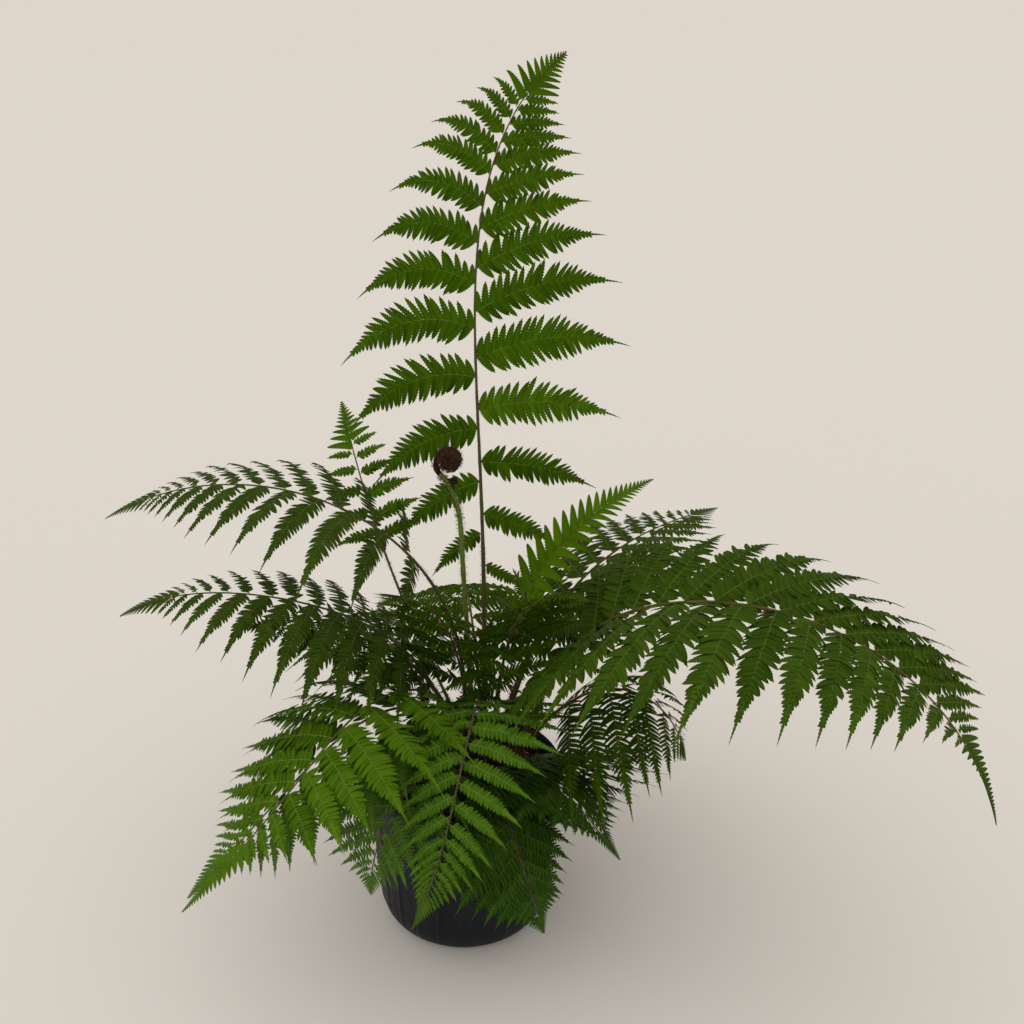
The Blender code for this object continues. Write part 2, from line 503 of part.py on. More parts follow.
def build():
    for o in list(bpy.data.objects):
        bpy.data.objects.remove(o)
    leaf = (0.055, 0.16, 0.03)

    # pot: rounded foot, body, rim, then down the inside to its floor
    foot = [(0.0, 0.0)] + [(pot_radius(z), z) for z in (0.0, 0.003, 0.012, POT_FOOT_ROUND)]
    rim_z = POT_HEIGHT - POT_RIM_DROP
    top = [(pot_radius(rim_z), rim_z), (POT_RIM_R, rim_z + 0.002), (POT_RIM_R, POT_HEIGHT - 0.0015),
           (POT_RIM_R - 0.0015, POT_HEIGHT), (pot_radius(rim_z) - POT_WALL, POT_HEIGHT)]
    floor_z = 0.004
    hollow = [(pot_radius(z) - POT_WALL, z) for z in (rim_z, POT_FOOT_ROUND, 0.014)] + \
             [(pot_radius(floor_z) - POT_WALL - 0.002, floor_z)]
    v, fc = turned(foot + top + hollow + [(0.0, floor_z)], POT_SIDES)
    piece("pot", v, fc, material("pot_plastic", (0.02, 0.021, 0.025), 0.5))

    # soil fills the pot, clear of its wall
    g = 2 * GAP
    share = (SOIL_TOP - POT_FOOT_ROUND) / (rim_z - POT_FOOT_ROUND)
    r_soil = hollow[1][0] + (hollow[0][0] - hollow[1][0]) * share - g
    v, fc = turned([(0.0, floor_z + g), (hollow[3][0] - g, floor_z + g), (hollow[2][0] - g, hollow[2][1]),
                    (hollow[1][0] - g, hollow[1][1]), (r_soil, SOIL_TOP), (0.0, SOIL_TOP)], POT_SIDES)
    piece("soil", v, fc, material("potting_mix", (0.05, 0.032, 0.02), 0.9))

    # crown: the short, hidden stem that carries every stipe
    lift = SOIL_TOP + GAP
    v, fc = turned([(0.0, lift), (CROWN_R * 0.92, lift), (CROWN_R, lift + 0.008), (CROWN_R, crown_height(CROWN_R)),
                    (CROWN_R * 0.75, crown_height(CROWN_R * 0.75)), (CROWN_R * 0.4, crown_height(CROWN_R * 0.4)),
                    (0.0, CROWN_TOP)], CROWN_SIDES, CROWN_X, CROWN_Y)
    piece("crown", v, fc, material("crown_fibre", (0.06, 0.03, 0.016), 0.85))

    green = material("young_stipe", (0.10, 0.12, 0.04), 0.6)
    brown = material("stipe", (0.10, 0.055, 0.028), 0.65)
    taken = []

    # the crozier: a hairy stalk, its coil and the small coil at its neck
    fr = rachis(CROZIER)
    v, fc = stipe(CROZIER, fr, 1.0, STIPE_FOOT_R, 0.0042)
    piece("crozier_stipe", v, fc, green, True)
    taken.append(tree(v, fc))
    P, T, S, N = fr
    end, t = P[-1], T[-1]
    up = unit(np.array((t[0], 0.0, t[2])))
    inward = np.array((up[2], 0.0, -up[0]))          # towards the coil's middle
    hub = end + inward * (COIL_R + 0.0035) + up * 0.006
    half = COIL_THICK / 2
    v, fc = turned([(0.0, -half), (COIL_R * 0.70, -half), (COIL_R, -half * 0.45), (COIL_R, half * 0.45),
                    (COIL_R * 0.70, half), (0.0, half)], 18)
    v = [(hub[0] + p[0], hub[1] - p[2], hub[2] + p[1]) for p in v]
    hairy = material("crozier_hair", (0.045, 0.022, 0.012), 0.9)
    piece("crozier_coil", v, fc, hairy, True)
    taken.append(tree(v, fc))
    bud = hub + np.array((0.006, 0.0, -COIL_R - BUD_R - 0.0045))
    v, fc = turned([(0.0, -BUD_R), (BUD_R * 0.8, -BUD_R * 0.6), (BUD_R, 0.0), (BUD_R * 0.8, BUD_R * 0.6), (0.0, BUD_R)], 8)
    v = [(bud[0] + p[0], bud[1] + p[1], bud[2] + p[2]) for p in v]
    piece("crozier_bud", v, fc, hairy, True)
    taken.append(tree(v, fc))

    # stalks and ribs first, so that no leaflet takes their room
    frames, plans = {}, {}
    for name in ORDER:
        f = FRONDS[name]
        frame = frames[name] = rachis(f)
        begin = f["stipe"]
        start = begin - 0.012 * (1 - begin)
        v, fc = stipe(f, frame, start - 1.5 * GAP / f["length"], STIPE_FOOT_R, STIPE_END_R)
        piece("frond_%s_stipe" % name, v, fc, brown, True)
        taken.append(tree(v, fc))
        n = PIECES[name]
        edges = [-0.012] + [parting(f, x) for x in SPLITS[n]] + [1.0]
        plans[name] = []
        for k in range(n):
            u0, u1 = edges[k] + (1.5 * GAP / (f["length"] * (1 - begin)) if k else 0.0), edges[k + 1]
            last = k == n - 1
            rows = [knots(f, side, u0, u1, last) for side in (1, -1)]
            verts, norms, tris, left_count = strip(f, frame, u0, u1, last, rows)
            plans[name].append([rows, verts, norms, tris, left_count])
            sv, sf = shut(verts, tris, norms, BLADE_THICK + 2 * CLEAR)
            taken.append((name, tree(sv, sf)))

    # leaflets, frond by frond: each as long as its room allows
    done = [t for t in taken if not isinstance(t, tuple)]
    ribs = [t for t in taken if isinstance(t, tuple)]
    for name in ORDER:
        f, frame = FRONDS[name], frames[name]
        others = done + [t for k, t in ribs if k != name]
        own_ribs = [t for k, t in ribs if k == name]
        mine = []
        for k, (rows, verts, norms, tris, left_count) in enumerate(plans[name]):
            for side, first, own in ((1, 0, rows[0]), (-1, left_count, rows[1])):
                for u, begin, finish, step, place in own:
                    a = first + place
                    room = step * (1 - f["stipe"]) * f["length"]
                    for share in (1.0, 0.875, 0.75, 0.625, 0.5, 0.375, 0.25, 0.125):
                        corners, cn, ct, line = leaflet_sheet(f, frame, u, side, room, share)
                        base = (verts[a], verts[a + 1])
                        sv, sf = wedge_shell(base, corners, cn, ct, CLEAR)
                        lift = [base[i] + (corners[-1] - base[i]) * 0.22 for i in (0, 1)]
                        ov, of = wedge_shell(lift, corners, cn, ct, CLEAR)
                        if not blocked(sv, sf, list(line[2:]) + corners, others) and \
                                not blocked(ov, of, [], mine + own_ribs):
                            break
                    else:
                        continue
                    at0 = len(verts)
                    verts += corners
                    norms += cn
                    names = {0: a, 1: a + 1}
                    tris += [tuple(names.get(i, at0 + i - 2) for i in t) for t in ct]
                    mine.append(tree(sv, sf))
            v, fc = shut(verts, tris, norms, BLADE_THICK)
            ob = piece("frond_%s_%s" % (name, PIECE_NAMES[PIECES[name]][k]), v, fc, material("leaf_" + name, leaf, 0.55))
        for rows, verts, norms, tris, left_count in plans[name]:
            sv, sf = shut(verts, tris, norms, BLADE_THICK + CLEAR)
            done.append(tree(sv, sf))


build()
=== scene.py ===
import json
import math

import bpy
import numpy as np
from mathutils import Matrix, Vector

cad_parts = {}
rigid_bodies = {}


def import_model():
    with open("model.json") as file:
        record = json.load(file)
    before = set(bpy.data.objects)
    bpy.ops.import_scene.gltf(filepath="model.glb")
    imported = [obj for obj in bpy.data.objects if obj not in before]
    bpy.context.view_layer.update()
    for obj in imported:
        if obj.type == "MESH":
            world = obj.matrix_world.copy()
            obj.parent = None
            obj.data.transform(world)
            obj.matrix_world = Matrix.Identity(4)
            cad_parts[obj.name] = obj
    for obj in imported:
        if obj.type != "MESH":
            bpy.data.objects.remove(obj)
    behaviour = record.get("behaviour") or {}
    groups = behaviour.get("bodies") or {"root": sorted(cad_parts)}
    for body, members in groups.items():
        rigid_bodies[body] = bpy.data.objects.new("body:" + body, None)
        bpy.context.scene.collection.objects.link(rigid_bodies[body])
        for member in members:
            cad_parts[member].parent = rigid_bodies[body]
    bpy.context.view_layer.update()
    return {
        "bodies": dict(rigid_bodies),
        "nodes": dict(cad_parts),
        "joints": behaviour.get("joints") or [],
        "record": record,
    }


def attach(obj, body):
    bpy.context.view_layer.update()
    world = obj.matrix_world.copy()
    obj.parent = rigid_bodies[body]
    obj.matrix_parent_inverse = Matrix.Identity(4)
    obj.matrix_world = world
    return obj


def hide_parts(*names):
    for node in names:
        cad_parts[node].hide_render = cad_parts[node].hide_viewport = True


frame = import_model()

rng = np.random.default_rng(20417)

# ---- sizes shared with the CAD ----
POT_HEIGHT = 0.241
POT_TOP_R = 0.1389
POT_FOOT_R = 0.1223
POT_FOOT_ROUND = 0.040
POT_FOOT_IN = 0.62
POT_RIM_R = 0.1420
POT_RIM_DROP = 0.018
POT_WALL = 0.0025
SOIL_TOP = 0.220
CROWN_X, CROWN_Y = 0.030, 0.0
CROWN_TOP = 0.2687
CROWN_FALL = 8.0
CROWN_R = 0.056
STEPS = 60
COIL_R, COIL_THICK, BUD_R = 0.0185, 0.021, 0.0062
CROZIER = dict(seat=(0.016, 205), az=180, el=89, roll=0, length=0.428, arch=(3, 3, 6, 10, 330), bend=(0, 0, 0), twist=0)
FRONDS = {
    "top": dict(
        seat=(0.012, 80), az=94, el=77, roll=-1, length=0.98, arch=(2, -16, -3, 13), bend=(-12, 10, -51, -272), twist=0,
        stipe=0.26, span=(0.21, 0.225), sweep=(-30, 29, 35), skew=-2, lift=(-1, 0), droop=(1.87, 1.14), curl=0.4,
        form=(0.28, 0.45, 0.76), start=(0.075, 0.012), steps=(0.1, 0.1, 0.078, 0.052, 0.042)),
    "right_large": dict(
        seat=(0.04, 338), az=348, el=57, roll=5, length=0.905, arch=(-240, 214, 135, 165, 147), bend=(-18, -31, -20), twist=-10,
        stipe=0.24, span=(0.209, 0.258), sweep=(-17, 32, -24), skew=27, lift=(18, 22), droop=(0.8, 1.3), curl=-0.27,
        form=(0.8, 0.355, 0.7), start=(0.065, 0.062), steps=(0.038, 0.056, 0.058, 0.036, 0.018)),
    "young_right": dict(
        seat=(0.02, 325), az=14, el=89, roll=-20, length=0.5, arch=(14, 48, 94, 61), bend=(-7, -2, -6), twist=13,
        stipe=0.42, span=(0.068, 0.123), sweep=(19, 29, 41), skew=-12, lift=(16, -7), droop=(0.29, 0.51), curl=-0.04,
        form=(0.85, 0.3, 0.8), start=(0.068, 0.008), steps=(0.088, 0.085, 0.085, 0.05, 0.03)),
    "back_right": dict(
        seat=(0.03, 35), az=43, el=72, roll=-5, length=0.568, arch=(25, 116, 75, 20), bend=(6, -2, 1), twist=-2,
        stipe=0.3, span=(0.169, 0.159), sweep=(19, 29, 45), skew=-2, lift=(-2, 4), droop=(0.55, 0.32), curl=0.12,
        form=(0.85, 0.3, 0.8), start=(0, 0.04), steps=(0.09, 0.085, 0.072, 0.048, 0.025)),
    "right_under": dict(
        seat=(0.043, 358), az=-12, el=57, roll=-6, length=0.355, arch=(3, 79, 254, 103), bend=(0, -7, 0), twist=1,
        stipe=0.33, span=(0.15, 0.2), sweep=(12, 27, 44), skew=4, lift=(0, -6), droop=(1.3, 1.14), curl=0.25,
        form=(0.85, 0.3, 0.8), start=(0, 0.059), steps=(0.141, 0.12, 0.08, 0.05, 0.02)),
    "right_low": dict(
        seat=(0.043, 314), az=308, el=41, roll=-3, length=0.26, arch=(68, 111, 49, 16), bend=(-2, 8, 4), twist=-1,
        stipe=0.13, span=(0.115, 0.11), sweep=(20, 38, 45), skew=-2, lift=(-2, 8), droop=(0.44, 0.14), curl=0.12,
        form=(1.0, 0.22, 1.2), start=(0, 0.04), steps=(0.09, 0.085, 0.07, 0.05, 0.03)),
    "front_right": dict(
        seat=(0.043, 294), az=274, el=20, roll=12, length=0.276, arch=(90, 153, 112, 28), bend=(4, 9, -5), twist=2,
        stipe=0.19, span=(0.065, 0.095), sweep=(20, 35, 45), skew=2, lift=(-2, -1), droop=(0.48, 0.36), curl=0.1,
        form=(0.9, 0.3, 0.8), start=(0.03, 0.07), steps=(0.1, 0.09, 0.08, 0.055, 0.03)),
    "front": dict(
        seat=(0.043, 272), az=269, el=93, roll=5, length=0.548, arch=(46, 327, 184, 15), bend=(-7, -14, -32), twist=-31,
        stipe=0.15, span=(0.112, 0.106), sweep=(5, 21, 75), skew=-9, lift=(9, -4), droop=(0.37, 0.56), curl=0.17,
        form=(0.85, 0.3, 0.8), start=(0.042, 0.011), steps=(0.08, 0.055, 0.054, 0.048, 0.022)),
    "front_mid": dict(
        seat=(0.043, 252), az=245, el=56, roll=-9, length=0.351, arch=(47, 198, 197, 64), bend=(2, -6, -2), twist=-7,
        stipe=0.22, span=(0.111, 0.129), sweep=(10, 28, 45), skew=0, lift=(0, 9), droop=(0.5, 0.77), curl=0.1,
        form=(0.85, 0.3, 0.8), start=(0.02, 0.07), steps=(0.11, 0.1, 0.08, 0.05, 0.02)),
    "front_left": dict(
        seat=(0.043, 232), az=220, el=91, roll=-3, length=0.593, arch=(73, 303, -12, 3), bend=(-8, 18, -22), twist=13,
        stipe=0.15, span=(0.192, 0.19), sweep=(-6, 18, 36), skew=-2, lift=(6, 12), droop=(0.62, 0.98), curl=-0.06,
        form=(0.75, 0.407, 0.85), start=(0.083, 0.038), steps=(0.09, 0.088, 0.069, 0.042, 0.02)),
    "front_left_low": dict(
        seat=(0.045, 213), az=215, el=81, roll=9, length=0.568, arch=(71, 291, 50, 36), bend=(35, -26, -19), twist=-17,
        stipe=0.16, span=(0.15, 0.174), sweep=(8, 21, 43), skew=4, lift=(0, 8), droop=(0.8, 0.85), curl=0.06,
        form=(0.8, 0.35, 0.8), start=(0.072, 0.021), steps=(0.093, 0.09, 0.076, 0.048, 0.022)),
    "left_upper": dict(
        seat=(0.028, 174), az=180, el=93, roll=3, length=0.766, arch=(1, 152, 141, 131), bend=(5, -3, 5), twist=-5,
        stipe=0.36, span=(0.195, 0.196), sweep=(16, 29, 32), skew=-5, lift=(7, 7), droop=(0.99, 0.95), curl=0.06,
        form=(0.8, 0.3, 0.85), start=(0.076, 0.11), steps=(0.125, 0.095, 0.064, 0.044, 0.02)),
    "left_middle": dict(
        seat=(0.042, 192), az=192, el=84, roll=1, length=0.597, arch=(33, 144, 69, 209), bend=(11, -7, 8), twist=4,
        stipe=0.26, span=(0.192, 0.163), sweep=(9, 21, 45), skew=7, lift=(1, 10), droop=(1.11, 0.94), curl=0.11,
        form=(0.75, 0.357, 0.85), start=(0.022, 0.007), steps=(0.088, 0.077, 0.068, 0.048, 0.022)),
    "left_inner": dict(
        seat=(0.027, 205), az=203, el=74, roll=-9, length=0.434, arch=(-5, 97, 78, 73), bend=(2, 11, 6), twist=-3,
        stipe=0.3, span=(0.113, 0.097), sweep=(16, 21, 33), skew=8, lift=(-8, 13), droop=(0.37, 0.44), curl=0.02,
        form=(0.8, 0.3, 0.85), start=(0.023, 0.097), steps=(0.106, 0.124, 0.09, 0.06, 0.02)),
    "small_left": dict(
        seat=(0.03, 135), az=153, el=62, roll=-49, length=0.53, arch=(-1, -4, -15, -11), bend=(2, -17, -15), twist=1,
        stipe=0.62, span=(0.069, 0.089), sweep=(13, 14, 32), skew=-2, lift=(0, 2), droop=(0.39, 0.37), curl=-0.01,
        form=(0.9, 0.25, 0.8), start=(0.04, 0), steps=(0.145, 0.17, 0.11, 0.1, 0.04)),
    "centre_left": dict(
        seat=(0.031, 241), az=238, el=84, roll=0, length=0.42, arch=(0, 40, 120, 170), bend=(0, 0, 0), twist=0,
        stipe=0.3, span=(0.088, 0.088), sweep=(10, 24, 42), skew=0, lift=(2, 2), droop=(0.6, 0.6), curl=0.08,
        form=(0.8, 0.3, 0.85), start=(0, 0.05), steps=(0.11, 0.1, 0.08, 0.05, 0.02)),
    "centre_right": dict(
        seat=(0.027, 292), az=306, el=83, roll=0, length=0.43, arch=(0, 40, 120, 170), bend=(0, 0, 0), twist=0,
        stipe=0.3, span=(0.085, 0.085), sweep=(10, 24, 42), skew=0, lift=(2, 2), droop=(0.6, 0.6), curl=0.08,
        form=(0.8, 0.3, 0.85), start=(0.05, 0), steps=(0.11, 0.1, 0.08, 0.05, 0.02)),
    "back": dict(
        seat=(0.036, 92), az=98, el=55, roll=0, length=0.53, arch=(20, 150, 140, 100), bend=(0, 0, 0), twist=0,
        stipe=0.27, span=(0.165, 0.165), sweep=(8, 22, 42), skew=0, lift=(4, 4), droop=(0.9, 0.9), curl=0.08,
        form=(0.8, 0.3, 0.85), start=(0, 0.045), steps=(0.09, 0.085, 0.07, 0.048, 0.025)),
    "back_left": dict(
        seat=(0.04, 135), az=132, el=46, roll=0, length=0.5, arch=(20, 120, 130, 90), bend=(0, 0, 0), twist=0,
        stipe=0.27, span=(0.165, 0.165), sweep=(8, 22, 42), skew=0, lift=(4, 4), droop=(0.9, 0.9), curl=0.08,
        form=(0.8, 0.3, 0.85), start=(0.03, 0), steps=(0.1, 0.09, 0.072, 0.05, 0.025)),
    "back_low": dict(
        seat=(0.041, 62), az=64, el=50, roll=0, length=0.5, arch=(20, 130, 140, 100), bend=(0, 0, 0), twist=0,
        stipe=0.27, span=(0.165, 0.165), sweep=(8, 22, 42), skew=0, lift=(4, 4), droop=(0.9, 0.9), curl=0.08,
        form=(0.8, 0.3, 0.85), start=(0, 0.04), steps=(0.095, 0.09, 0.072, 0.05, 0.025)),
}

PIECES = {
    "top": 2, "young_right": 1, "small_left": 1, "left_upper": 2, "left_middle": 2, "left_inner": 1,
    "front_left": 2, "front_left_low": 2, "front_mid": 1, "front": 2, "front_right": 1, "right_low": 1,
    "right_large": 3, "right_under": 2, "back_right": 2, "back": 2, "back_left": 2, "back_low": 2,
    "centre_left": 1, "centre_right": 1,
}
PIECE_NAMES = {1: ("blade",), 2: ("inner", "outer"), 3: ("inner", "middle", "outer")}

# how each frond's leaflets are cut: gap between pinnules on a 0.2 m leaflet, their length as a share of the
# leaflet's, their angle at base, middle and tip, bluntness, notch (1 is entire), forward curve, fill (half a
# pinnule's width as a share of the gap), and palette
LONG = ((0.0, 0.06, 0.18, 0.32, 0.46, 0.56, 0.64, 0.72, 0.80, 0.90, 1.0), (0.62, 0.84, 0.96, 1.0, 0.94, 0.82, 0.64, 0.40, 0.22, 0.10, 0.05))
BROAD = ((0.0, 0.06, 0.18, 0.35, 0.50, 0.60, 0.70, 0.78, 0.86, 0.93, 1.0), (0.70, 0.88, 0.98, 1.0, 0.95, 0.86, 0.68, 0.45, 0.24, 0.11, 0.05))


def cut_as(gap, reach, angle, blunt, notch, curve, fill, tones, outline=BROAD, plain=0.046, roll=0, tail=(0.0026, 0.010), taper=(0.68, 0.84, 0.40), lift=0, swell=1.0, foot=0.0, sides=(1, 1)):
    return dict(gap=gap, reach=reach, angle=angle, blunt=blunt, notch=notch, curve=curve, fill=fill, tones=tones, outline=outline,
                plain=plain, roll=roll, tail=tail, taper=taper, lift=lift, swell=swell, foot=foot, sides=sides)


CUT = {
    "top":            cut_as(0.0100, 0.176, (74, 62, 42), 0.58, 0.72, 0.10, 0.76, "fresh", LONG, 0.044, tail=(0.0026, 0.012), taper=(0.76, 0.88, 0.41)),
    "right_large":    cut_as(0.0090, 0.128, (82, 72, 46), 0.66, 0.80, 0.20, 0.84, "grey", LONG, 0.042, -24, (0.003, 0.012), taper=(0.70, 0.83, 0.27)),
    "young_right":    cut_as(0.0125, 0.200, (76, 60, 46), 0.50, 0.74, 0.12, 0.78, "lime", LONG, 0.085, taper=(0.22, 0.66, 0.55), sides=(1.15, 0.62)),
    "back_right":     cut_as(0.0090, 0.150, (82, 72, 44), 0.60, 0.80, 0.18, 0.76, "olive", LONG, 0.036, -20, lift=8),
    "right_under":    cut_as(0.0092, 0.130, (80, 68, 42), 0.56, 0.76, 0.18, 0.52, "deep", LONG, 0.030, taper=(0.56, 0.78, 0.34), foot=0.3),
    # right_low and front_right take the dark palette, whose darker greens paint in the shade they lie in: painted shade
    "right_low":      cut_as(0.0090, 0.230, (80, 68, 44), 0.60, 0.78, 0.16, 0.68, "dark", LONG, 0.020, taper=(0.50, 0.75, 0.30), swell=1.25, foot=0.9),
    "front_right":    cut_as(0.0084, 0.215, (80, 70, 46), 0.62, 0.78, 0.16, 0.68, "dark", LONG, 0.022, taper=(0.60, 0.80, 0.34), swell=1.35, foot=0.4),
    "front":          cut_as(0.0076, 0.112, (86, 80, 56), 0.78, 0.88, 0.16, 0.66, "lit", LONG, 0.026, taper=(0.66, 0.83, 0.40), foot=0.25, swell=1.15),
    "front_mid":      cut_as(0.0078, 0.140, (84, 76, 50), 0.70, 0.84, 0.16, 0.60, "blue", LONG, 0.024, taper=(0.62, 0.82, 0.32), swell=1.1),
    "front_left":     cut_as(0.0072, 0.138, (86, 78, 52), 0.72, 0.84, 0.20, 0.8, "bright", LONG, 0.034, tail=(0.0026, 0.010), taper=(0.64, 0.78, 0.28)),
    "front_left_low": cut_as(0.0078, 0.130, (84, 74, 48), 0.68, 0.82, 0.18, 0.72, "blue", LONG, 0.030, taper=(0.62, 0.80, 0.30)),
    "left_upper":     cut_as(0.0086, 0.108, (80, 66, 42), 0.6, 0.74, 0.20, 0.74, "olive", LONG, 0.034, 0, (0.0024, 0.009), lift=6, taper=(0.62, 0.82, 0.32)),
    "left_middle":    cut_as(0.0086, 0.112, (80, 66, 42), 0.6, 0.74, 0.20, 0.74, "olive", LONG, 0.034, 0, (0.0024, 0.009), lift=5, taper=(0.62, 0.82, 0.32)),
    "left_inner":     cut_as(0.0088, 0.150, (80, 70, 44), 0.58, 0.76, 0.18, 0.64, "deep", LONG, 0.034, 20),
    "small_left":     cut_as(0.0100, 0.170, (72, 62, 44), 0.80, 0.78, 0.08, 0.7, "bright", LONG, 0.036, sides=(1.0, 0.9)),
    "centre_left":    cut_as(0.0086, 0.170, (80, 68, 44), 0.58, 0.76, 0.18, 0.66, "deep", LONG, 0.034, 20, swell=1.4),
    "centre_right":   cut_as(0.0086, 0.170, (80, 68, 44), 0.58, 0.76, 0.18, 0.66, "deep", LONG, 0.034, 20, swell=1.4),
    "back":           cut_as(0.0092, 0.140, (80, 70, 44), 0.60, 0.80, 0.18, 0.64, "deep", LONG, 0.034),
    "back_left":      cut_as(0.0092, 0.140, (80, 70, 44), 0.60, 0.80, 0.18, 0.64, "olive", LONG, 0.034),
    "back_low":       cut_as(0.0092, 0.140, (80, 70, 44), 0.60, 0.80, 0.18, 0.64, "deep", LONG, 0.034),
}

# five plain leaf tones per palette, from shaded to lit, then the rib tone
TONES = {
    "fresh":  ((0.027, 0.070, 0.0008), (0.034, 0.085, 0.0010), (0.041, 0.099, 0.0014), (0.050, 0.114, 0.0020), (0.064, 0.138, 0.0040), (0.110, 0.160, 0.024)),
    "grey":   ((0.023, 0.053, 0.0020), (0.029, 0.063, 0.0028), (0.035, 0.074, 0.0036), (0.043, 0.088, 0.0044), (0.053, 0.110, 0.0048), (0.105, 0.150, 0.036)),
    "olive":  ((0.020, 0.042, 0.0020), (0.025, 0.050, 0.0028), (0.031, 0.060, 0.0038), (0.038, 0.072, 0.0044), (0.047, 0.090, 0.0050), (0.090, 0.125, 0.036)),
    "deep":   ((0.016, 0.041, 0.0006), (0.021, 0.051, 0.0008), (0.027, 0.062, 0.0012), (0.034, 0.075, 0.0018), (0.043, 0.092, 0.0030), (0.075, 0.110, 0.022)),
    # dark: leaf tones darkened for shade, painted shade
    "dark":   ((0.014, 0.040, 0.0020), (0.018, 0.050, 0.0028), (0.023, 0.061, 0.0036), (0.029, 0.074, 0.0046), (0.038, 0.094, 0.0060), (0.085, 0.135, 0.034)),
    "blue":   ((0.0342, 0.0831, 0.0061), (0.0439, 0.1026, 0.0083), (0.0549, 0.1258, 0.0110), (0.0683, 0.1514, 0.0146), (0.0855, 0.1831, 0.0207), (0.1526, 0.2320, 0.0634)),
    "lit":    ((0.030, 0.080, 0.0020), (0.038, 0.096, 0.0028), (0.047, 0.115, 0.0042), (0.059, 0.138, 0.0062), (0.078, 0.172, 0.0100), (0.130, 0.205, 0.050)),
    "bright": ((0.034, 0.084, 0.0012), (0.043, 0.102, 0.0018), (0.054, 0.124, 0.0026), (0.067, 0.148, 0.0042), (0.086, 0.178, 0.0080), (0.140, 0.205, 0.046)),
    "lime":   ((0.034, 0.078, 0.0006), (0.042, 0.094, 0.0010), (0.052, 0.112, 0.0014), (0.064, 0.134, 0.0024), (0.080, 0.160, 0.0040), (0.125, 0.180, 0.030)),
}


# ---- growing a frond ----
def keyed(keys, s):
    """Smooth value at s in 0..1 through evenly spaced keys."""
    k = len(keys)
    x = min(max(s, 0.0), 1.0) * (k - 1)
    i = min(int(x), k - 2)
    f = x - i
    p1, p2 = keys[i], keys[i + 1]
    p0 = keys[i - 1] if i > 0 else 2 * p1 - p2
    p3 = keys[i + 2] if i + 2 < k else 2 * p2 - p1
    return 0.5 * (2 * p1 + (p2 - p0) * f + (2 * p0 - 5 * p1 + 4 * p2 - p3) * f * f
                  + (3 * p1 - p0 - 3 * p2 + p3) * f ** 3)


def unit(v):
    return v / np.maximum(np.linalg.norm(v, axis=-1, keepdims=True), 1e-12)


def turn(v, axis, angle):
    c, s = math.cos(angle), math.sin(angle)
    return v * c + np.cross(axis, v) * s + axis * np.dot(axis, v) * (1 - c)


def crown_height(q):
    """Height of the crown's rounded top at distance q from its middle."""
    return CROWN_TOP - CROWN_FALL * q * q


def rachis(f):
    """Centre line of a frond with its frame: T along it, S to its left, N off its upper face."""
    a, e, r = (math.radians(v) for v in (f["az"], f["el"], f["roll"]))
    T = np.array((math.cos(e) * math.cos(a), math.cos(e) * math.sin(a), math.sin(e)))
    S = np.array((-math.sin(a), math.cos(a), 0.0))
    N = np.cross(T, S)
    S, N = S * math.cos(r) + N * math.sin(r), N * math.cos(r) - S * math.sin(r)
    q, ba = f["seat"][0], math.radians(f["seat"][1])
    p = np.array((CROWN_X + q * math.cos(ba), CROWN_Y + q * math.sin(ba), crown_height(q)))
    ds = 1.0 / STEPS
    P, TT, SS, NN = [p.copy()], [T], [S], [N]
    for i in range(STEPS):
        s = (i + 0.5) * ds
        T = turn(T, S, math.radians(keyed(f["arch"], s)) * ds)
        T = unit(turn(T, N, math.radians(keyed(f["bend"], s)) * ds))
        S = S - T * np.dot(S, T)
        S = unit(turn(S, T, math.radians(f["twist"]) * ds))
        N = np.cross(T, S)
        p = p + T * f["length"] * ds
        P.append(p.copy())
        TT.append(T)
        SS.append(S)
        NN.append(N)
    return np.array(P), np.array(TT), np.array(SS), np.array(NN)


def at(rows, s):
    x = np.clip(np.asarray(s, float), 0, 1) * STEPS
    i = np.minimum(x.astype(int), STEPS - 1)
    w = (x - i)[..., None]
    return rows[i] * (1 - w) + rows[i + 1] * w


def profile(u, f):
    """Leaflet length along the blade, as a share of the longest."""
    low_end, peak, power = f["form"]
    u = np.asarray(u, float)
    low = low_end + (1 - low_end) * np.sin(np.pi / 2 * np.clip(u / peak, 0, 1))
    high = np.clip((1 - u) / (1 - peak), 0, 1) ** power
    return np.where(u < peak, low, high)


def stations(f, side):
    """Places along the blade where leaflets leave on the left (1) or right (-1)."""
    us, u = [], f["start"][0 if side > 0 else 1]
    while u < 0.985:
        us.append(u)
        u += keyed(f["steps"], u)
    return us


def leaflets(f, frame, us, side, cuts=8):
    """Midribs of the side leaflets that leave at us, on the left (1) or right (-1)."""
    P, T, S, N = frame
    s = f["stipe"] + (1 - f["stipe"]) * us
    p, t, sd, n = at(P, s), unit(at(T, s)), unit(at(S, s)) * side, unit(at(N, s))
    k = 0 if side > 0 else 1
    span = f["span"][k]
    length = span * profile(us, f)
    sweep = np.radians(np.array([keyed(f["sweep"], v) for v in us]) + side * f["skew"])
    lift = math.radians(f["lift"][k])
    d0 = np.cos(sweep)[:, None] * sd + np.sin(sweep)[:, None] * t
    d0 = math.cos(lift) * d0 + math.sin(lift) * n
    pts, dirs = [p], []
    for j in range(cuts):
        x = (j + 0.5) / cuts
        g = f["droop"][k] * x * (0.45 + 0.55 * length / span)
        d = unit(d0 + np.outer(g, (0, 0, -1.0)) + f["curl"] * x * t)
        p = p + d * (length / cuts)[:, None]
        pts.append(p)
        dirs.append(d)
    dirs.append(dirs[-1])
    return np.stack(pts, 1), np.stack(dirs, 1), length, n, t


def rows_at(rows, v):
    x = np.clip(np.asarray(v, float), 0, 1) * (len(rows) - 1)
    i = np.minimum(x.astype(int), len(rows) - 2)
    w = (x - i)[:, None]
    return rows[i] * (1 - w) + rows[i + 1] * w


def mix3(keys, v):
    """Value at v in 0..1 through three keys."""
    return np.interp(v, (0.0, 0.5, 1.0), keys)


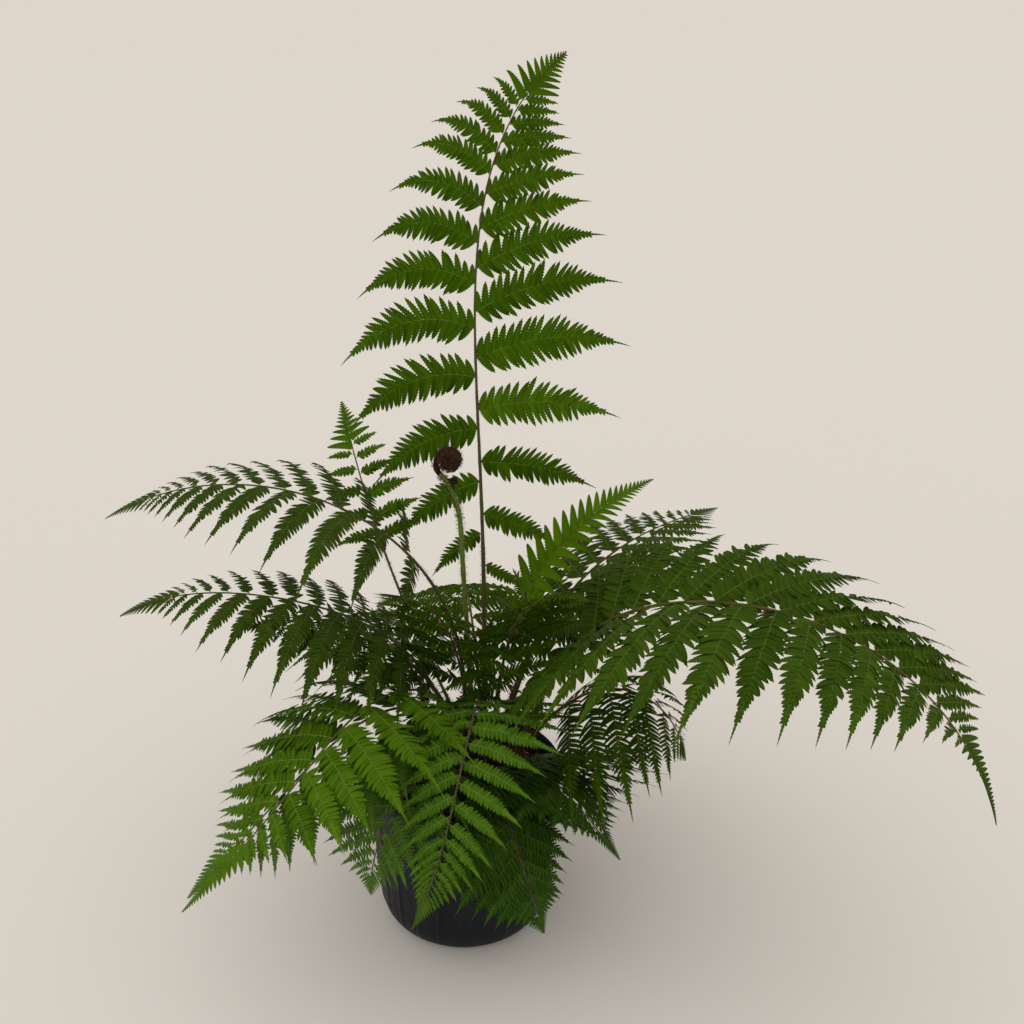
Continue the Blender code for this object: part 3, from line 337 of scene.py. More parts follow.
def pot_radius(z):
    r = POT_FOOT_R + (POT_TOP_R - POT_FOOT_R) * z / POT_HEIGHT
    d = np.clip(POT_FOOT_ROUND - z, 0, POT_FOOT_ROUND)
    return r - POT_FOOT_IN * (POT_FOOT_ROUND - np.sqrt(POT_FOOT_ROUND ** 2 - d * d))


def clear_of_pot(v):
    """Moves foliage that would cut the pot, its soil or the ground just clear of it."""
    v = np.array(v, float)
    r = np.hypot(v[:, 0], v[:, 1])
    z = np.clip(v[:, 2], 0, POT_HEIGHT)
    wall = np.where(z > POT_HEIGHT - POT_RIM_DROP - 0.002, POT_RIM_R, pot_radius(z)) + 0.0035
    over = np.clip((POT_HEIGHT + 0.006 - v[:, 2]) / 0.006, 0, 1)
    hit = (r > wall - 0.034) & (r < wall) & (over > 0)
    push = np.where(hit, (wall - r) * over, 0.0)
    v[:, :2] += v[:, :2] / np.maximum(r, 1e-9)[:, None] * push[:, None]
    inner = (r <= wall - 0.034) & (v[:, 2] < SOIL_TOP + 0.007)
    v[inner, 2] = SOIL_TOP + 0.007 + (v[inner, 2] - SOIL_TOP) * 0.05
    v[:, 2] = np.maximum(v[:, 2], 0.0022)
    return v


# ---- meshes ----
def make(name, verts, tris, mats, index=None, smooth=True, stands_for=()):
    verts, tris = np.asarray(verts, np.float32), np.asarray(tris, np.int32)
    me = bpy.data.meshes.new(name)
    me.vertices.add(len(verts))
    me.vertices.foreach_set("co", verts.ravel())
    me.loops.add(tris.size)
    me.loops.foreach_set("vertex_index", tris.ravel())
    me.polygons.add(len(tris))
    me.polygons.foreach_set("loop_start", np.arange(0, tris.size, 3, dtype=np.int32))
    for m in mats:
        me.materials.append(m)
    if index is not None:
        me.polygons.foreach_set("material_index", np.asarray(index, np.int32))
    me.polygons.foreach_set("use_smooth", np.full(len(tris), bool(smooth)))
    me.update(calc_edges=True)
    me.validate()
    ob = bpy.data.objects.new(name, me)
    bpy.context.scene.collection.objects.link(ob)
    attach(ob, "root")
    if stands_for:
        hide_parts(*stands_for)
    return ob


class Pile:
    """Collects triangles for one piece."""

    def __init__(self):
        self.v, self.f, self.m, self.n = [], [], [], 0

    def add(self, verts, tris, index=0):
        verts, tris = np.asarray(verts, float).reshape(-1, 3), np.asarray(tris, int).reshape(-1, 3)
        self.v.append(verts)
        self.f.append(tris + self.n)
        self.m.append(np.full(len(tris), index) if np.isscalar(index) else np.asarray(index))
        self.n += len(verts)

    def out(self):
        return np.concatenate(self.v), np.concatenate(self.f), np.concatenate(self.m)


def tube(centres, radii, sides, u, w, squash=None, close=True):
    """A tube through centres with its own frame; radii may be one per ring, or rings by sides."""
    c = np.asarray(centres, float)
    r = np.asarray(radii, float)
    n = len(c)
    if r.ndim == 1:
        r = np.repeat(r[:, None], sides, 1)
    a = 2 * np.pi * np.arange(sides) / sides
    ring = np.cos(a)[None, :, None] * u[:, None, :] + np.sin(a)[None, :, None] * w[:, None, :]
    v = (c[:, None, :] + ring * r[:, :, None]).reshape(-1, 3)
    i, k = np.meshgrid(np.arange(n - 1), np.arange(sides), indexing="ij")
    a0, b0 = i * sides + k, i * sides + (k + 1) % sides
    f = np.concatenate((np.stack((a0, b0, b0 + sides), -1).reshape(-1, 3),
                        np.stack((a0, b0 + sides, a0 + sides), -1).reshape(-1, 3)))
    if close:
        k = np.arange(1, sides - 1)
        o = (n - 1) * sides
        f = np.concatenate((f, np.stack((0 * k, k + 1, k), -1), np.stack((0 * k + o, o + k, o + k + 1), -1)))
    return v, f


def pinnules(base, a, c, length, half, foot, seat, teeth, cut, curve, fold, drop):
    """Toothed blades, all with the same number of teeth: two halves each, creased along the middle."""
    n = len(base)
    b = np.cross(c, a)
    xs = np.linspace(0, 0.87, teeth + 1)
    xp = xs[:-1] + 0.74 * np.diff(xs)
    x = np.concatenate((xs, xs, xp, [1.0]))
    kind = np.concatenate((np.zeros(teeth + 1), np.ones(teeth + 1), np.full(teeth, 2), [3]))

    def width(x):
        rise = foot[:, None] + (1 - foot[:, None]) * np.sin(np.pi / 2 * np.clip(x / 0.24, 0, 1))[None, :]
        sharp, round_ = (1 - x) ** 0.8, (1 - x ** 2.6) ** 0.6
        return half[:, None] * rise * ((1 - cut["blunt"]) * sharp + cut["blunt"] * round_)[None, :]

    w = width(x)
    w = np.where(kind == 0, 0, np.where(kind == 1, w * cut["notch"], np.where(kind == 3, 0, w)))
    out_v, out_f = [], []
    k = teeth
    m, v, p, t = np.arange(k + 1), np.arange(k + 1) + k + 1, np.arange(k) + 2 * (k + 1), 3 * k + 2
    tri = np.concatenate((np.stack((m[:-1], m[1:], v[1:]), -1), np.stack((m[:-1], v[1:], p), -1),
                          np.stack((m[:-1], p, v[:-1]), -1), np.array([[k, t, v[k]]])))
    per = 3 * k + 3
    for s in (1, -1):
        lat = curve[:, None] * x[None, :] ** 2 * length[:, None] + s * w
        up = fold[:, None] * w - drop[:, None] * x[None, :] ** 2 * length[:, None]
        pos = (base[:, None, :] + a[:, None, :] * (x[None, :] * length[:, None])[..., None]
               + b[:, None, :] * lat[..., None] + c[:, None, :] * up[..., None])
        toward = np.where(np.sum(b * seat, 1) < 0, -1.0, 1.0)      # the foot runs along the midrib to meet its neighbours
        pos[:, k + 1] = base + s * toward[:, None] * seat
        out_v.append(pos.reshape(-1, 3))
        f = tri if s > 0 else tri[:, ::-1]
        out_f.append((f[None] + (np.arange(n) * per)[:, None, None]).reshape(-1, 3))
    verts = np.concatenate(out_v)
    faces = np.concatenate((out_f[0], out_f[1] + n * per))
    owner = np.tile(np.repeat(np.arange(n), len(tri)), 2)
    return verts, faces, owner


def veins(base, a, c, length, curve, drop, wide):
    """The raised vein along the middle of each pinnule."""
    n = len(base)
    b = np.cross(c, a)
    x = np.array((0.0, 0.0, 0.45, 0.45, 0.86))
    y = np.array((0.5, -0.5, 0.36, -0.36, 0.0))
    lat = curve[:, None] * x ** 2 * length[:, None] + y * wide[:, None]
    up = 0.00022 - drop[:, None] * x ** 2 * length[:, None]
    pos = (base[:, None, :] + a[:, None, :] * (x * length[:, None])[..., None]
           + b[:, None, :] * lat[..., None] + c[:, None, :] * up[..., None])
    tri = np.array(((1, 3, 2), (1, 2, 0), (3, 4, 2)))
    f = (tri[None] + (np.arange(n) * 5)[:, None, None]).reshape(-1, 3)
    return pos.reshape(-1, 3), f


def teeth_for(length):
    return np.select((length >= 0.0210, length >= 0.0165, length >= 0.0125, length >= 0.0090, length >= 0.0065, length >= 0.0042), (8, 7, 6, 5, 3, 2), 1)


def spear(line, w, m, x0, x1, half, teeth, notch, power=0.85, blunt=0.0, fold=0.15):
    """A toothed blade that follows a curved midline from x0 to x1: the end of a leaflet, or a small whole one."""
    xs = np.linspace(0, 0.94, teeth + 1)
    xp = xs[:-1] + 0.80 * np.diff(xs)
    out_v, out_f = [], []
    k = teeth
    mm, v, p, t = np.arange(k + 1), np.arange(k + 1) + k + 1, np.arange(k) + 2 * (k + 1), 3 * k + 2
    tri = np.concatenate((np.stack((mm[:-1], mm[1:], v[1:]), -1), np.stack((mm[:-1], v[1:], p), -1),
                          np.stack((mm[:-1], p, v[:-1]), -1), np.array([[k, t, v[k]]])))
    x = np.concatenate((xs, xs, xp, [1.0]))
    wide = half * ((1 - blunt) * (1 - x) ** power + blunt * (1 - x ** 2.6) ** 0.6)
    kind = np.concatenate((np.zeros(k + 1), np.full(k + 1, notch), np.ones(k), [0]))
    wide = wide * kind
    at_x = x0 + (x1 - x0) * x
    c, ww, nn = rows_at(line, at_x), unit(rows_at(w, at_x)), unit(rows_at(m, at_x))
    for s in (1, -1):
        out_v.append(c + ww * (s * wide)[:, None] + nn * (fold * wide)[:, None])
        flip = np.dot(np.cross(line[-1] - line[0], ww[0]) * s, nn[0]) > 0
        out_f.append(tri if flip else tri[:, ::-1])
    return np.concatenate(out_v), np.concatenate((out_f[0], out_f[1] + 3 * k + 3))


def grow(name):
    """All leaflets of one frond: pinnules by tone, then midribs and veins."""
    f, cut = FRONDS[name], CUT[name]
    frame_rows = rachis(f)
    P, T, S, N = frame_rows
    blade = f["length"] * (1 - f["stipe"])
    leaf, ribs = Pile(), Pile()
    bag = []                      # base, a, c, length, half, foot, curve, fold, drop, tone
    for side in (1, -1):
        us = np.array(stations(f, side))
        length = leaflets(f, frame_rows, us, side, 2)[2] * cut["sides"][0 if side > 0 else 1]
        u_t, u_s, part = cut["taper"]
        L_t = float(np.interp(u_t, us, length))
        size = lambda u: np.where(u < u_t, np.interp(u, us0, length0), np.interp(u, (u_t, u_s, 1.0), (L_t, part * L_t, 0.0008)))
        us0, length0 = us, length
        us = [float(u) for u in us0 if u < u_t - 0.012]
        u = us[-1] + max(u_t - us[-1], 0.24 * L_t / blade)
        while u < 0.993:          # closer and closer towards the point
            us.append(u)
            L = float(size(u))
            u += (0.0022 + 0.23 * L) / blade
        us = np.array(us)
        pts, dirs, length, n, t = leaflets(f, frame_rows, us, side, 14)
        for i in range(len(us)):
            away = float(np.clip(dirs[i][4][1] / 0.7, 0, 1))
            if cut["lift"] * away > 0.5:      # leaflets on the far side stand a little higher
                up = cut["lift"] * away
                turn = np.array(Matrix.Rotation(math.radians(up), 3, Vector(t[i])))
                if (turn @ dirs[i][4])[2] < dirs[i][4][2]:
                    turn = turn.T
                pts[i] = pts[i, :1] + (pts[i] - pts[i, :1]) @ turn.T
                dirs[i] = dirs[i] @ turn.T
                n[i] = turn @ n[i]
            L = float(size(us[i])) * (cut["swell"] + cut["foot"] * np.clip(1 - us[i] / 0.4, 0, 1))
            slim = L / length[i]
            tone0 = rng.normal(0, 0.45)
            pts[i] = pts[i, :1] + (pts[i] - pts[i, :1]) * slim
            if L < cut["plain"] and us[i] >= u_t:       # simple, toothed blades that run together
                dd = unit(rows_at(dirs[i], np.linspace(0, 1, 15)))
                w = unit(t[i] - dd * (dd @ t[i])[:, None])
                m = np.cross(dd, w)
                m = m * np.where(m @ n[i] < 0, -1, 1)[:, None]
                room = (0.0022 + 0.23 * L) * float(np.linalg.norm(np.cross(t[i], dd[2])))
                k = int(np.clip(round(L / 0.0034), 1, 12))
                v_, f_ = spear(pts[i], w, m, 0.0, 1.02, 0.72 * room, k, 0.76, 0.78, 0.15 + 0.2 * cut["blunt"])
                # these end blades take a slightly lighter tone: painted light
                leaf.add(v_, f_, int(np.clip(round(2.6 + 0.6 * tone0 + rng.normal(0, 0.3)), 0, 4)))
                if L > 0.012:
                    q = np.linspace(0, 0.9, 5)
                    v_, f_ = tube(rows_at(pts[i], q), (0.00020 + 0.003 * L) * (1 - 0.8 * q), 3, unit(rows_at(w, q)), unit(rows_at(m, q)))
                    ribs.add(v_, f_, 0)
                continue
            # the leaflet's own midline and frame, a little different each time
            roll = side * math.radians(rng.normal(cut["roll"] * away, 7))
            gap0 = cut["gap"] * (0.40 + 0.60 * min(L, 0.22) / 0.2)
            vs = {}
            for e in (1, -1):
                v, x = [], (0.010 + 0.004 * (e < 0)) / L * 0.6
                while x < 0.86:
                    v.append(x)
                    x += gap0 / L * np.interp(x, (0, 0.65, 1), (1.0, 0.74, 0.30)) * (1 + rng.normal(0, 0.03))
                vs[e] = np.array(v)
            shrink = 1 + rng.normal(0, 0.02)
            line = pts[i, :1] + (pts[i] - pts[i, :1]) * shrink
            dd = unit(rows_at(dirs[i], np.linspace(0, 1, 29)))
            w = unit(t[i] - dd * (dd @ t[i])[:, None])
            m = np.cross(dd, w)
            m = m * np.where(m @ n[i] < 0, -1, 1)[:, None]
            w, m = w * math.cos(roll) + m * math.sin(roll), m * math.cos(roll) - w * math.sin(roll)
            rib_r = 0.00030 + 0.0028 * L
            for e in (1, -1):
                v = vs[e]
                k = len(v)
                p, d, ww, mm = rows_at(line, v), unit(rows_at(dd, v)), unit(rows_at(w, v)), unit(rows_at(m, v))
                ang = np.radians(mix3(cut["angle"], v) + (-3 if e > 0 else 3) + rng.normal(0, 3.0, k))
                shape = np.interp(v, *cut["outline"])
                ln = cut["reach"] * L * shape * (1 + rng.normal(0, 0.05, k))
                gap = gap0 * np.interp(v, (0, 0.65, 1), (1.0, 0.74, 0.30))
                tail = np.clip((v - 0.74) / 0.12, 0, 1)
                ln = np.maximum(ln, gap * (1.05 + 0.25 * tail))
                hf = cut["fill"] * gap * (np.sin(ang) * (1 - tail) + 0.86 * tail)
                hf = np.minimum(hf, 0.46 * ln)
                a = np.cos(ang)[:, None] * d + (e * np.sin(ang))[:, None] * ww
                tilt = rng.normal(0.0, 0.10, k) - 0.05
                a = unit(a + mm * tilt[:, None])
                c = mm + ww * rng.normal(0, 0.10, k)[:, None] + d * rng.normal(0, 0.08, k)[:, None]
                c = unit(c - a * np.sum(a * c, 1)[:, None])
                fwd = np.sin(ang)[:, None] * d - (e * np.cos(ang))[:, None] * ww
                sgn = np.sign(np.sum(np.cross(c, a) * fwd, 1))
                foot = np.clip(0.80 + 0.3 * v, 0.80, 1.0)
                # past 0.72 of the leaflet the tone rises, so pinnules towards its end take the lit tones: painted
                # light; tone0 and the normal term spread the tones at random
                tone = tone0 + rng.normal(0, 0.55, k) + np.clip((v - 0.72) * 4.0, 0, 1.2)
                bag.append((p + e * ww * rib_r * 0.15, a, c, ln, hf, foot, d * (0.53 * gap)[:, None], cut["curve"] * sgn * (1 + rng.normal(0, 0.25, k)),
                            np.full(k, 0.20) + rng.normal(0, 0.08, k), np.full(k, 0.10) + rng.normal(0, 0.05, k), tone,
                            np.full(k, us[i])))
            # the leaflet's long toothed end, one tone lighter than its pinnules: painted light
            v_, f_ = spear(line, w, m, 0.66, 1.0, cut["tail"][0] + cut["tail"][1] * L, int(np.clip(round(L / 0.011), 6, 15)), 0.56, 0.90, 0.0)
            leaf.add(v_, f_, int(np.clip(round(3.0 + tone0 + rng.normal(0, 0.3)), 0, 4)))
            rings = 11
            q = np.linspace(0, 0.985, rings)
            v_, f_ = tube(rows_at(line, q), rib_r * (1 - 0.80 * q), 4, unit(rows_at(w, q)), unit(rows_at(m, q)))
            ribs.add(v_, f_, 0)
    # the frond's own tip, in a lit tone: painted light
    q0 = f["stipe"] + (1 - f["stipe"]) * 0.90
    q = np.linspace(q0, 1.0, 15)
    v_, f_ = spear(at(P, q), unit(at(S, q)), unit(at(N, q)), 0.0, 1.0, 0.0030, 12, 0.60, 0.85, 0.0)
    leaf.add(v_, f_, 3)
    base, a, c, ln, hf, foot, seat, curve, fold, drop, tone, place = (np.concatenate([b[j] for b in bag]) for j in range(12))
    tone = np.clip(np.round(2 + tone), 0, 4).astype(int)
    kk = teeth_for(ln)
    for k in np.unique(kk):
        s = kk == k
        v, fc, owner = pinnules(base[s], a[s], c[s], ln[s], hf[s], foot[s], seat[s], int(k), cut, curve[s], fold[s], drop[s])
        leaf.add(v, fc, tone[s][owner])
    s = ln > 0.0065
    v, fc = veins(base[s], a[s], c[s], ln[s], curve[s], drop[s], 0.00050 + 0.010 * ln[s])
    ribs.add(v, fc, 1)
    return frame_rows, leaf, ribs


# ---- materials ----
def nodes_of(name):
    m = bpy.data.materials.new(name)
    m.use_nodes = True
    nt = m.node_tree
    return m, nt, nt.nodes["Principled BSDF"]


def add(nt, kind, **values):
    nd = nt.nodes.new(kind)
    for k, v in values.items():
        if k in nd.inputs:
            nd.inputs[k].default_value = v
        else:
            setattr(nd, k, v)
    return nd


def ramp(nt, stops):
    nd = nt.nodes.new("ShaderNodeValToRGB")
    els = nd.color_ramp.elements
    while len(els) < len(stops):
        els.new(0.5)
    for e, (p, c) in zip(els, stops):
        e.position = p
        e.color = (*c, 1) if len(c) == 3 else c
    return nd


def noise(nt, scale, detail=4.0, rough=0.55, coord="Object", stretch=None):
    tc = nt.nodes.new("ShaderNodeTexCoord")
    nd = add(nt, "ShaderNodeTexNoise", Scale=scale, Detail=detail, Roughness=rough)
    if stretch:
        mp = nt.nodes.new("ShaderNodeMapping")
        mp.inputs["Scale"].default_value = stretch
        nt.links.new(tc.outputs[coord], mp.inputs["Vector"])
        nt.links.new(mp.outputs["Vector"], nd.inputs["Vector"])
    else:
        nt.links.new(tc.outputs[coord], nd.inputs["Vector"])
    return nd


def bump(nt, p, height, strength, distance):
    bp = add(nt, "ShaderNodeBump", Strength=strength, Distance=distance)
    nt.links.new(height, bp.inputs["Height"])
    nt.links.new(bp.outputs["Normal"], p.inputs["Normal"])


def rough_between(nt, p, value, low, high):
    mr = nt.nodes.new("ShaderNodeMapRange")
    mr.inputs["From Min"].default_value = 0.3
    mr.inputs["From Max"].default_value = 0.7
    mr.inputs["To Min"].default_value = low
    mr.inputs["To Max"].default_value = high
    nt.links.new(value, mr.inputs["Value"])
    nt.links.new(mr.outputs["Result"], p.inputs["Roughness"])


def leaf_material(name, colour, rough=(0.50, 0.62), spec=0.0):
    m, nt, p = nodes_of(name)
    p.inputs["Base Color"].default_value = (*colour, 1)
    p.inputs["Specular IOR Level"].default_value = spec
    nz = noise(nt, 900, 3)
    bump(nt, p, nz.outputs["Fac"], 0.25, 0.0006)
    rough_between(nt, p, nz.outputs["Fac"], *rough)
    return m


def stalk_material(name, low, high, dark, rough=0.62):
    """Long streaks of green and brown with fine speckles."""
    m, nt, p = nodes_of(name)
    streak = noise(nt, 16, 5, 0.6)
    speck = noise(nt, 420, 2, 0.7)
    c = ramp(nt, ((0.34, low), (0.66, high)))
    nt.links.new(streak.outputs["Fac"], c.inputs["Fac"])
    mx = nt.nodes.new("ShaderNodeMix")
    mx.data_type = "RGBA"
    s = ramp(nt, ((0.50, (0, 0, 0)), (0.66, (1, 1, 1))))
    nt.links.new(speck.outputs["Fac"], s.inputs["Fac"])
    nt.links.new(s.outputs["Color"], mx.inputs["Factor"])
    nt.links.new(c.outputs["Color"], mx.inputs["A"])
    mx.inputs["B"].default_value = (*dark, 1)
    nt.links.new(mx.outputs["Result"], p.inputs["Base Color"])
    p.inputs["Specular IOR Level"].default_value = 0.3
    rough_between(nt, p, speck.outputs["Fac"], rough - 0.1, rough + 0.12)
    bump(nt, p, speck.outputs["Fac"], 0.5, 0.0006)
    return m


def fibre_material(name, dark, light, scale=160, rough=0.8, stretch=(1, 1, 1)):
    m, nt, p = nodes_of(name)
    nz = noise(nt, scale, 5, 0.65, stretch=stretch)
    c = ramp(nt, ((0.34, dark), (0.68, light)))
    nt.links.new(nz.outputs["Fac"], c.inputs["Fac"])
    nt.links.new(c.outputs["Color"], p.inputs["Base Color"])
    p.inputs["Specular IOR Level"].default_value = 0.2
    rough_between(nt, p, nz.outputs["Fac"], rough - 0.08, rough + 0.1)
    bump(nt, p, nz.outputs["Fac"], 0.6, 0.0012)
    return m


LEAF, RIB = {}, {}
GLOSS = {"grey": 0.03, "olive": 0.03, "blue": 0.03, "dark": 0.02, "lit": 0.02, "bright": 0.01}
for key, tones in TONES.items():
    LEAF[key] = [leaf_material("leaf_%s_%d" % (key, i + 1), c, spec=GLOSS.get(key, 0.0)) for i, c in enumerate(tones[:5])]
    rib = tones[5]
    RIB[key] = [leaf_material("midrib_" + key, rib, (0.5, 0.6), 0.1),
                leaf_material("vein_" + key, tuple(0.5 * x + 0.5 * y for x, y in zip(rib, tones[3])), (0.5, 0.6), 0.08)]
STALK = {
    "young": stalk_material("stalk_young", (0.090, 0.165, 0.012), (0.150, 0.225, 0.022), (0.060, 0.085, 0.012)),
    "rust": stalk_material("stalk_rust", (0.092, 0.040, 0.012), (0.150, 0.082, 0.024), (0.040, 0.017, 0.006)),
    "brown": stalk_material("stalk_brown", (0.055, 0.026, 0.010), (0.095, 0.060, 0.022), (0.022, 0.011, 0.005)),
    "tan": stalk_material("stalk_tan", (0.072, 0.050, 0.016), (0.060, 0.078, 0.014), (0.034, 0.020, 0.008)),
    "green": stalk_material("stalk_green", (0.058, 0.086, 0.010), (0.096, 0.118, 0.016), (0.050, 0.034, 0.010)),
}
STALK_OF = {"top": "tan", "right_large": "rust", "right_under": "rust", "back_right": "brown", "back_low": "brown", "back": "brown",
            "front": "tan", "front_left": "green", "front_mid": "tan", "front_right": "tan", "front_left_low": "green",
            "young_right": "green", "small_left": "green", "left_upper": "tan", "left_middle": "tan", "left_inner": "tan",
            "right_low": "tan", "back_left": "tan", "centre_left": "brown", "centre_right": "brown"}
SCALE_DARK = fibre_material("scale_brown", (0.022, 0.010, 0.004), (0.085, 0.044, 0.018), 300)
SCALE_GOLD = fibre_material("scale_gold", (0.085, 0.050, 0.020), (0.185, 0.120, 0.052), 300)
HAIR_PALE = fibre_material("hair_pale", (0.180, 0.145, 0.085), (0.330, 0.280, 0.180), 300, 0.7)
HAIR_DARK = fibre_material("hair_dark", (0.016, 0.007, 0.003), (0.075, 0.034, 0.014), 400)


def wisps(pile, roots, out, length, width, sag, index, hook=0.0, along=None):
    """Fine bent hairs or narrow scales: flat ribbons of three triangles, each turned its own way."""
    n = len(roots)
    out = unit(out + rng.normal(0, 0.28, (n, 3)))
    side = unit(np.cross(out, rng.normal(0, 1, (n, 3))))
    bend = np.cross(side, out)
    if along is not None:
        bend = unit(along)
    x = np.array((0.0, 0.0, 0.55, 0.55, 1.0))
    y = np.array((0.5, -0.5, 0.42, -0.42, 0.0))
    k = (hook + rng.normal(0, 0.18, n))
    pos = (roots[:, None, :] + out[:, None, :] * (x * length[:, None])[..., None]
           + side[:, None, :] * (y * width[:, None])[..., None]
           + bend[:, None, :] * (x ** 2 * (k * length)[:, None])[..., None]
           - np.array((0, 0, 1.0)) * (x ** 2 * (sag * length)[:, None])[..., None])
    tri = np.array(((0, 2, 3), (0, 3, 1), (2, 4, 3)))
    pile.add(pos.reshape(-1, 3), (tri[None] + (np.arange(n) * 5)[:, None, None]).reshape(-1, 3), index)


# ---- fronds ----
hairs = Pile()          # every stalk's scales and hairs: 0 dark scales, 1 golden, 2 pale hairs


def stalk(name, f, rows, r0, r1, r2, mat, stands_for, tip_at=0.995, sides=9, rings=84):
    P, T, S, N = rows
    s = np.linspace(0, tip_at, rings)
    c, sd, nn, tt = at(P, s), unit(at(S, s)), unit(at(N, s)), unit(at(T, s))
    bare = f["stipe"]
    r = np.where(s < bare, r0 + (r1 - r0) * (s / max(bare, 1e-6)) ** 0.6,
                 r1 + (r2 - r1) * ((s - bare) / (1 - bare + 1e-9)) ** 0.8) if bare < 1 else r0 + (r1 - r0) * s ** 0.6
    a = 2 * np.pi * np.arange(sides) / sides
    groove = 1 - 0.22 * np.exp(-((np.abs(a - np.pi / 2)) / 0.5) ** 2)
    rough = 1 + 0.045 * rng.normal(0, 1, (rings, sides)) + 0.05 * np.sin(s * 90 + rng.uniform(0, 6))[:, None]
    rr = r[:, None] * groove[None, :] * rough
    swell = 1 + 0.55 * np.exp(-(s / 0.03) ** 2)
    rr = rr * swell[:, None]
    c = c.copy()
    c[0] -= tt[0] * 0.003
    v, fc = tube(c, rr, sides, sd, nn)
    ob = make(name, v, fc, [mat], stands_for=stands_for)
    return ob, s, c, sd, nn, tt, r * swell


def dress(s, c, sd, nn, tt, r, n, lo, hi, length, width, index, sag=0.1, hook=0.0, power=1.0, lean=0.35):
    q = lo + (hi - lo) * rng.random(n) ** power
    x = np.interp(q, s, np.arange(len(s)))
    i = np.minimum(x.astype(int), len(s) - 2)
    w = (x - i)[:, None]
    pick = lambda rows: rows[i] * (1 - w) + rows[i + 1] * w
    ang = rng.uniform(0, 2 * np.pi, n)
    radial = np.cos(ang)[:, None] * unit(pick(sd)) + np.sin(ang)[:, None] * unit(pick(nn))
    rad = np.interp(q, s, r)
    roots = pick(c) + radial * (rad * 0.93)[:, None]
    out = radial + unit(pick(tt)) * lean
    ln = length * rng.uniform(0.55, 1.25, n)
    wisps(hairs, roots, out, ln, width * rng.uniform(0.7, 1.2, n), np.full(n, sag), index, hook)


count = {}
for name in FRONDS:
    f = FRONDS[name]
    rows, leaf, ribs = grow(name)
    key = CUT[name]["tones"]
    parts = ["frond_%s_%s" % (name, p) for p in PIECE_NAMES[PIECES[name]]]
    v, fc, ix = leaf.out()
    make("frond_%s_pinnules" % name, clear_of_pot(v), fc, LEAF[key], ix, True, parts)
    v2, fc2, ix2 = ribs.out()
    make("frond_%s_midribs" % name, clear_of_pot(v2), fc2, RIB[key], ix2, True)
    small = name in ("young_right", "small_left", "front_right", "right_low")
    k = 0.72 if small else 1.0
    big = 1.32 if name == "right_large" else 1.15 if name == "right_under" else 1.0
    neck = 0.0030 if name == "top" else 0.0021
    ob, s, c, sd, nn, tt, r = stalk("frond_%s_stalk" % name, f, rows, 0.0040 * k * big, neck * k * big, 0.0006,
                                    STALK[STALK_OF[name]], ["frond_%s_stipe" % name])
    b = f["stipe"]
    metre = f["length"]
    dark = STALK_OF[name] in ("brown", "rust")
    dress(s, c, sd, nn, tt, r, int(260 * k), 0.0, b * 0.55, 0.0085, 0.0011, 0, 0.15, 0.1, 1.9, 0.9)
    dress(s, c, sd, nn, tt, r, int(1500 * metre * (1.2 if dark else 0.9)), 0.0, b * 1.15, 0.0042, 0.00034, 0 if dark else 1, 0.05, 0.0, 1.1, 0.4)
    dress(s, c, sd, nn, tt, r, int(900 * metre), b * 0.3, 0.9, 0.0028, 0.00024, 2 if not dark else 1, 0.0, 0.0, 1.0, 0.3)
    if STALK_OF[name] == "rust":      # the coarse golden hairs of the two thick stalks
        dress(s, c, sd, nn, tt, r, int(1300 * metre), 0.0, b * 1.1, 0.0062, 0.00046, 1, 0.05, 0.0, 1.2, 0.4)
    count[name] = (len(fc), len(fc2))


# ---- the crozier ----
rows = rachis(CROZIER)
P, T, S, N = rows
ob, s, c, sd, nn, tt, r = stalk("crozier_stalk", dict(stipe=1.0), rows, 0.0040, 0.0034, 0.0033,
                                STALK["young"], ["crozier_stipe"], tip_at=1.0, sides=12, rings=90)
dress(s, c, sd, nn, tt, r, 260, 0.0, 0.5, 0.0095, 0.0011, 0, 0.15, 0.1, 1.6, 0.8)
dress(s, c, sd, nn, tt, r, 1500, 0.04, 0.97, 0.0050, 0.00016, 2, 0.05, 0.0, 0.9, 0.25)
dress(s, c, sd, nn, tt, r, 420, 0.10, 1.0, 0.0055, 0.00036, 1, 0.1, 0.2, 0.6, 0.2)
dress(s, c, sd, nn, tt, r, 420, 0.80, 1.0, 0.0055, 0.00060, 0, 0.1, 0.2, 0.6, 0.2)

end, t_end = P[-1], T[-1]
up = unit(np.array((t_end[0], 0.0, t_end[2])))
inward = np.array((up[2], 0.0, -up[0]))
hub = end + inward * (COIL_R + 0.0035) + up * 0.006
bud_at = hub + np.array((0.006, 0.0, -COIL_R - BUD_R - 0.0045))
Y = np.array((0.0, 1.0, 0.0))

# the coil: up its left side, over the top and round into the middle
n = 110
turns = 2.15
q = np.linspace(0, 1, n)
ang = -2 * math.pi * turns * q ** 0.92
start_dir = end - hub
phi0 = math.atan2(start_dir @ np.array((0, 0, 1.0)), start_dir @ np.array((1.0, 0, 0)))
ex, ez = np.array((1.0, 0, 0)), np.array((0, 0, 1.0))
rad = np.interp(q, (0, 0.06, 0.25, 0.5, 0.75, 1.0), (np.linalg.norm(start_dir), 0.0150, 0.0128, 0.0088, 0.0050, 0.0012))
spiral = hub + rad[:, None] * (np.cos(phi0 + ang)[:, None] * ex + np.sin(phi0 + ang)[:, None] * ez)
tan = unit(np.gradient(spiral, axis=0))
tan[0] = unit(tan[0] * 0.5 + t_end * 0.5)
flat = np.repeat(Y[None], n, 0)
outw = unit(np.cross(flat, tan))
thick = np.interp(q, (0, 0.10, 0.5, 1.0), (0.0036, 0.0042, 0.0030, 0.0018))
broad = np.interp(q, (0, 0.08, 0.3, 0.8, 1.0), (0.0036, 0.0062, 0.0082, 0.0080, 0.0060))
a = 2 * np.pi * np.arange(14) / 14
lump = 1 + 0.10 * rng.normal(0, 1, (n, 14))
u_ = flat * (broad / thick)[:, None]
coil = Pile()
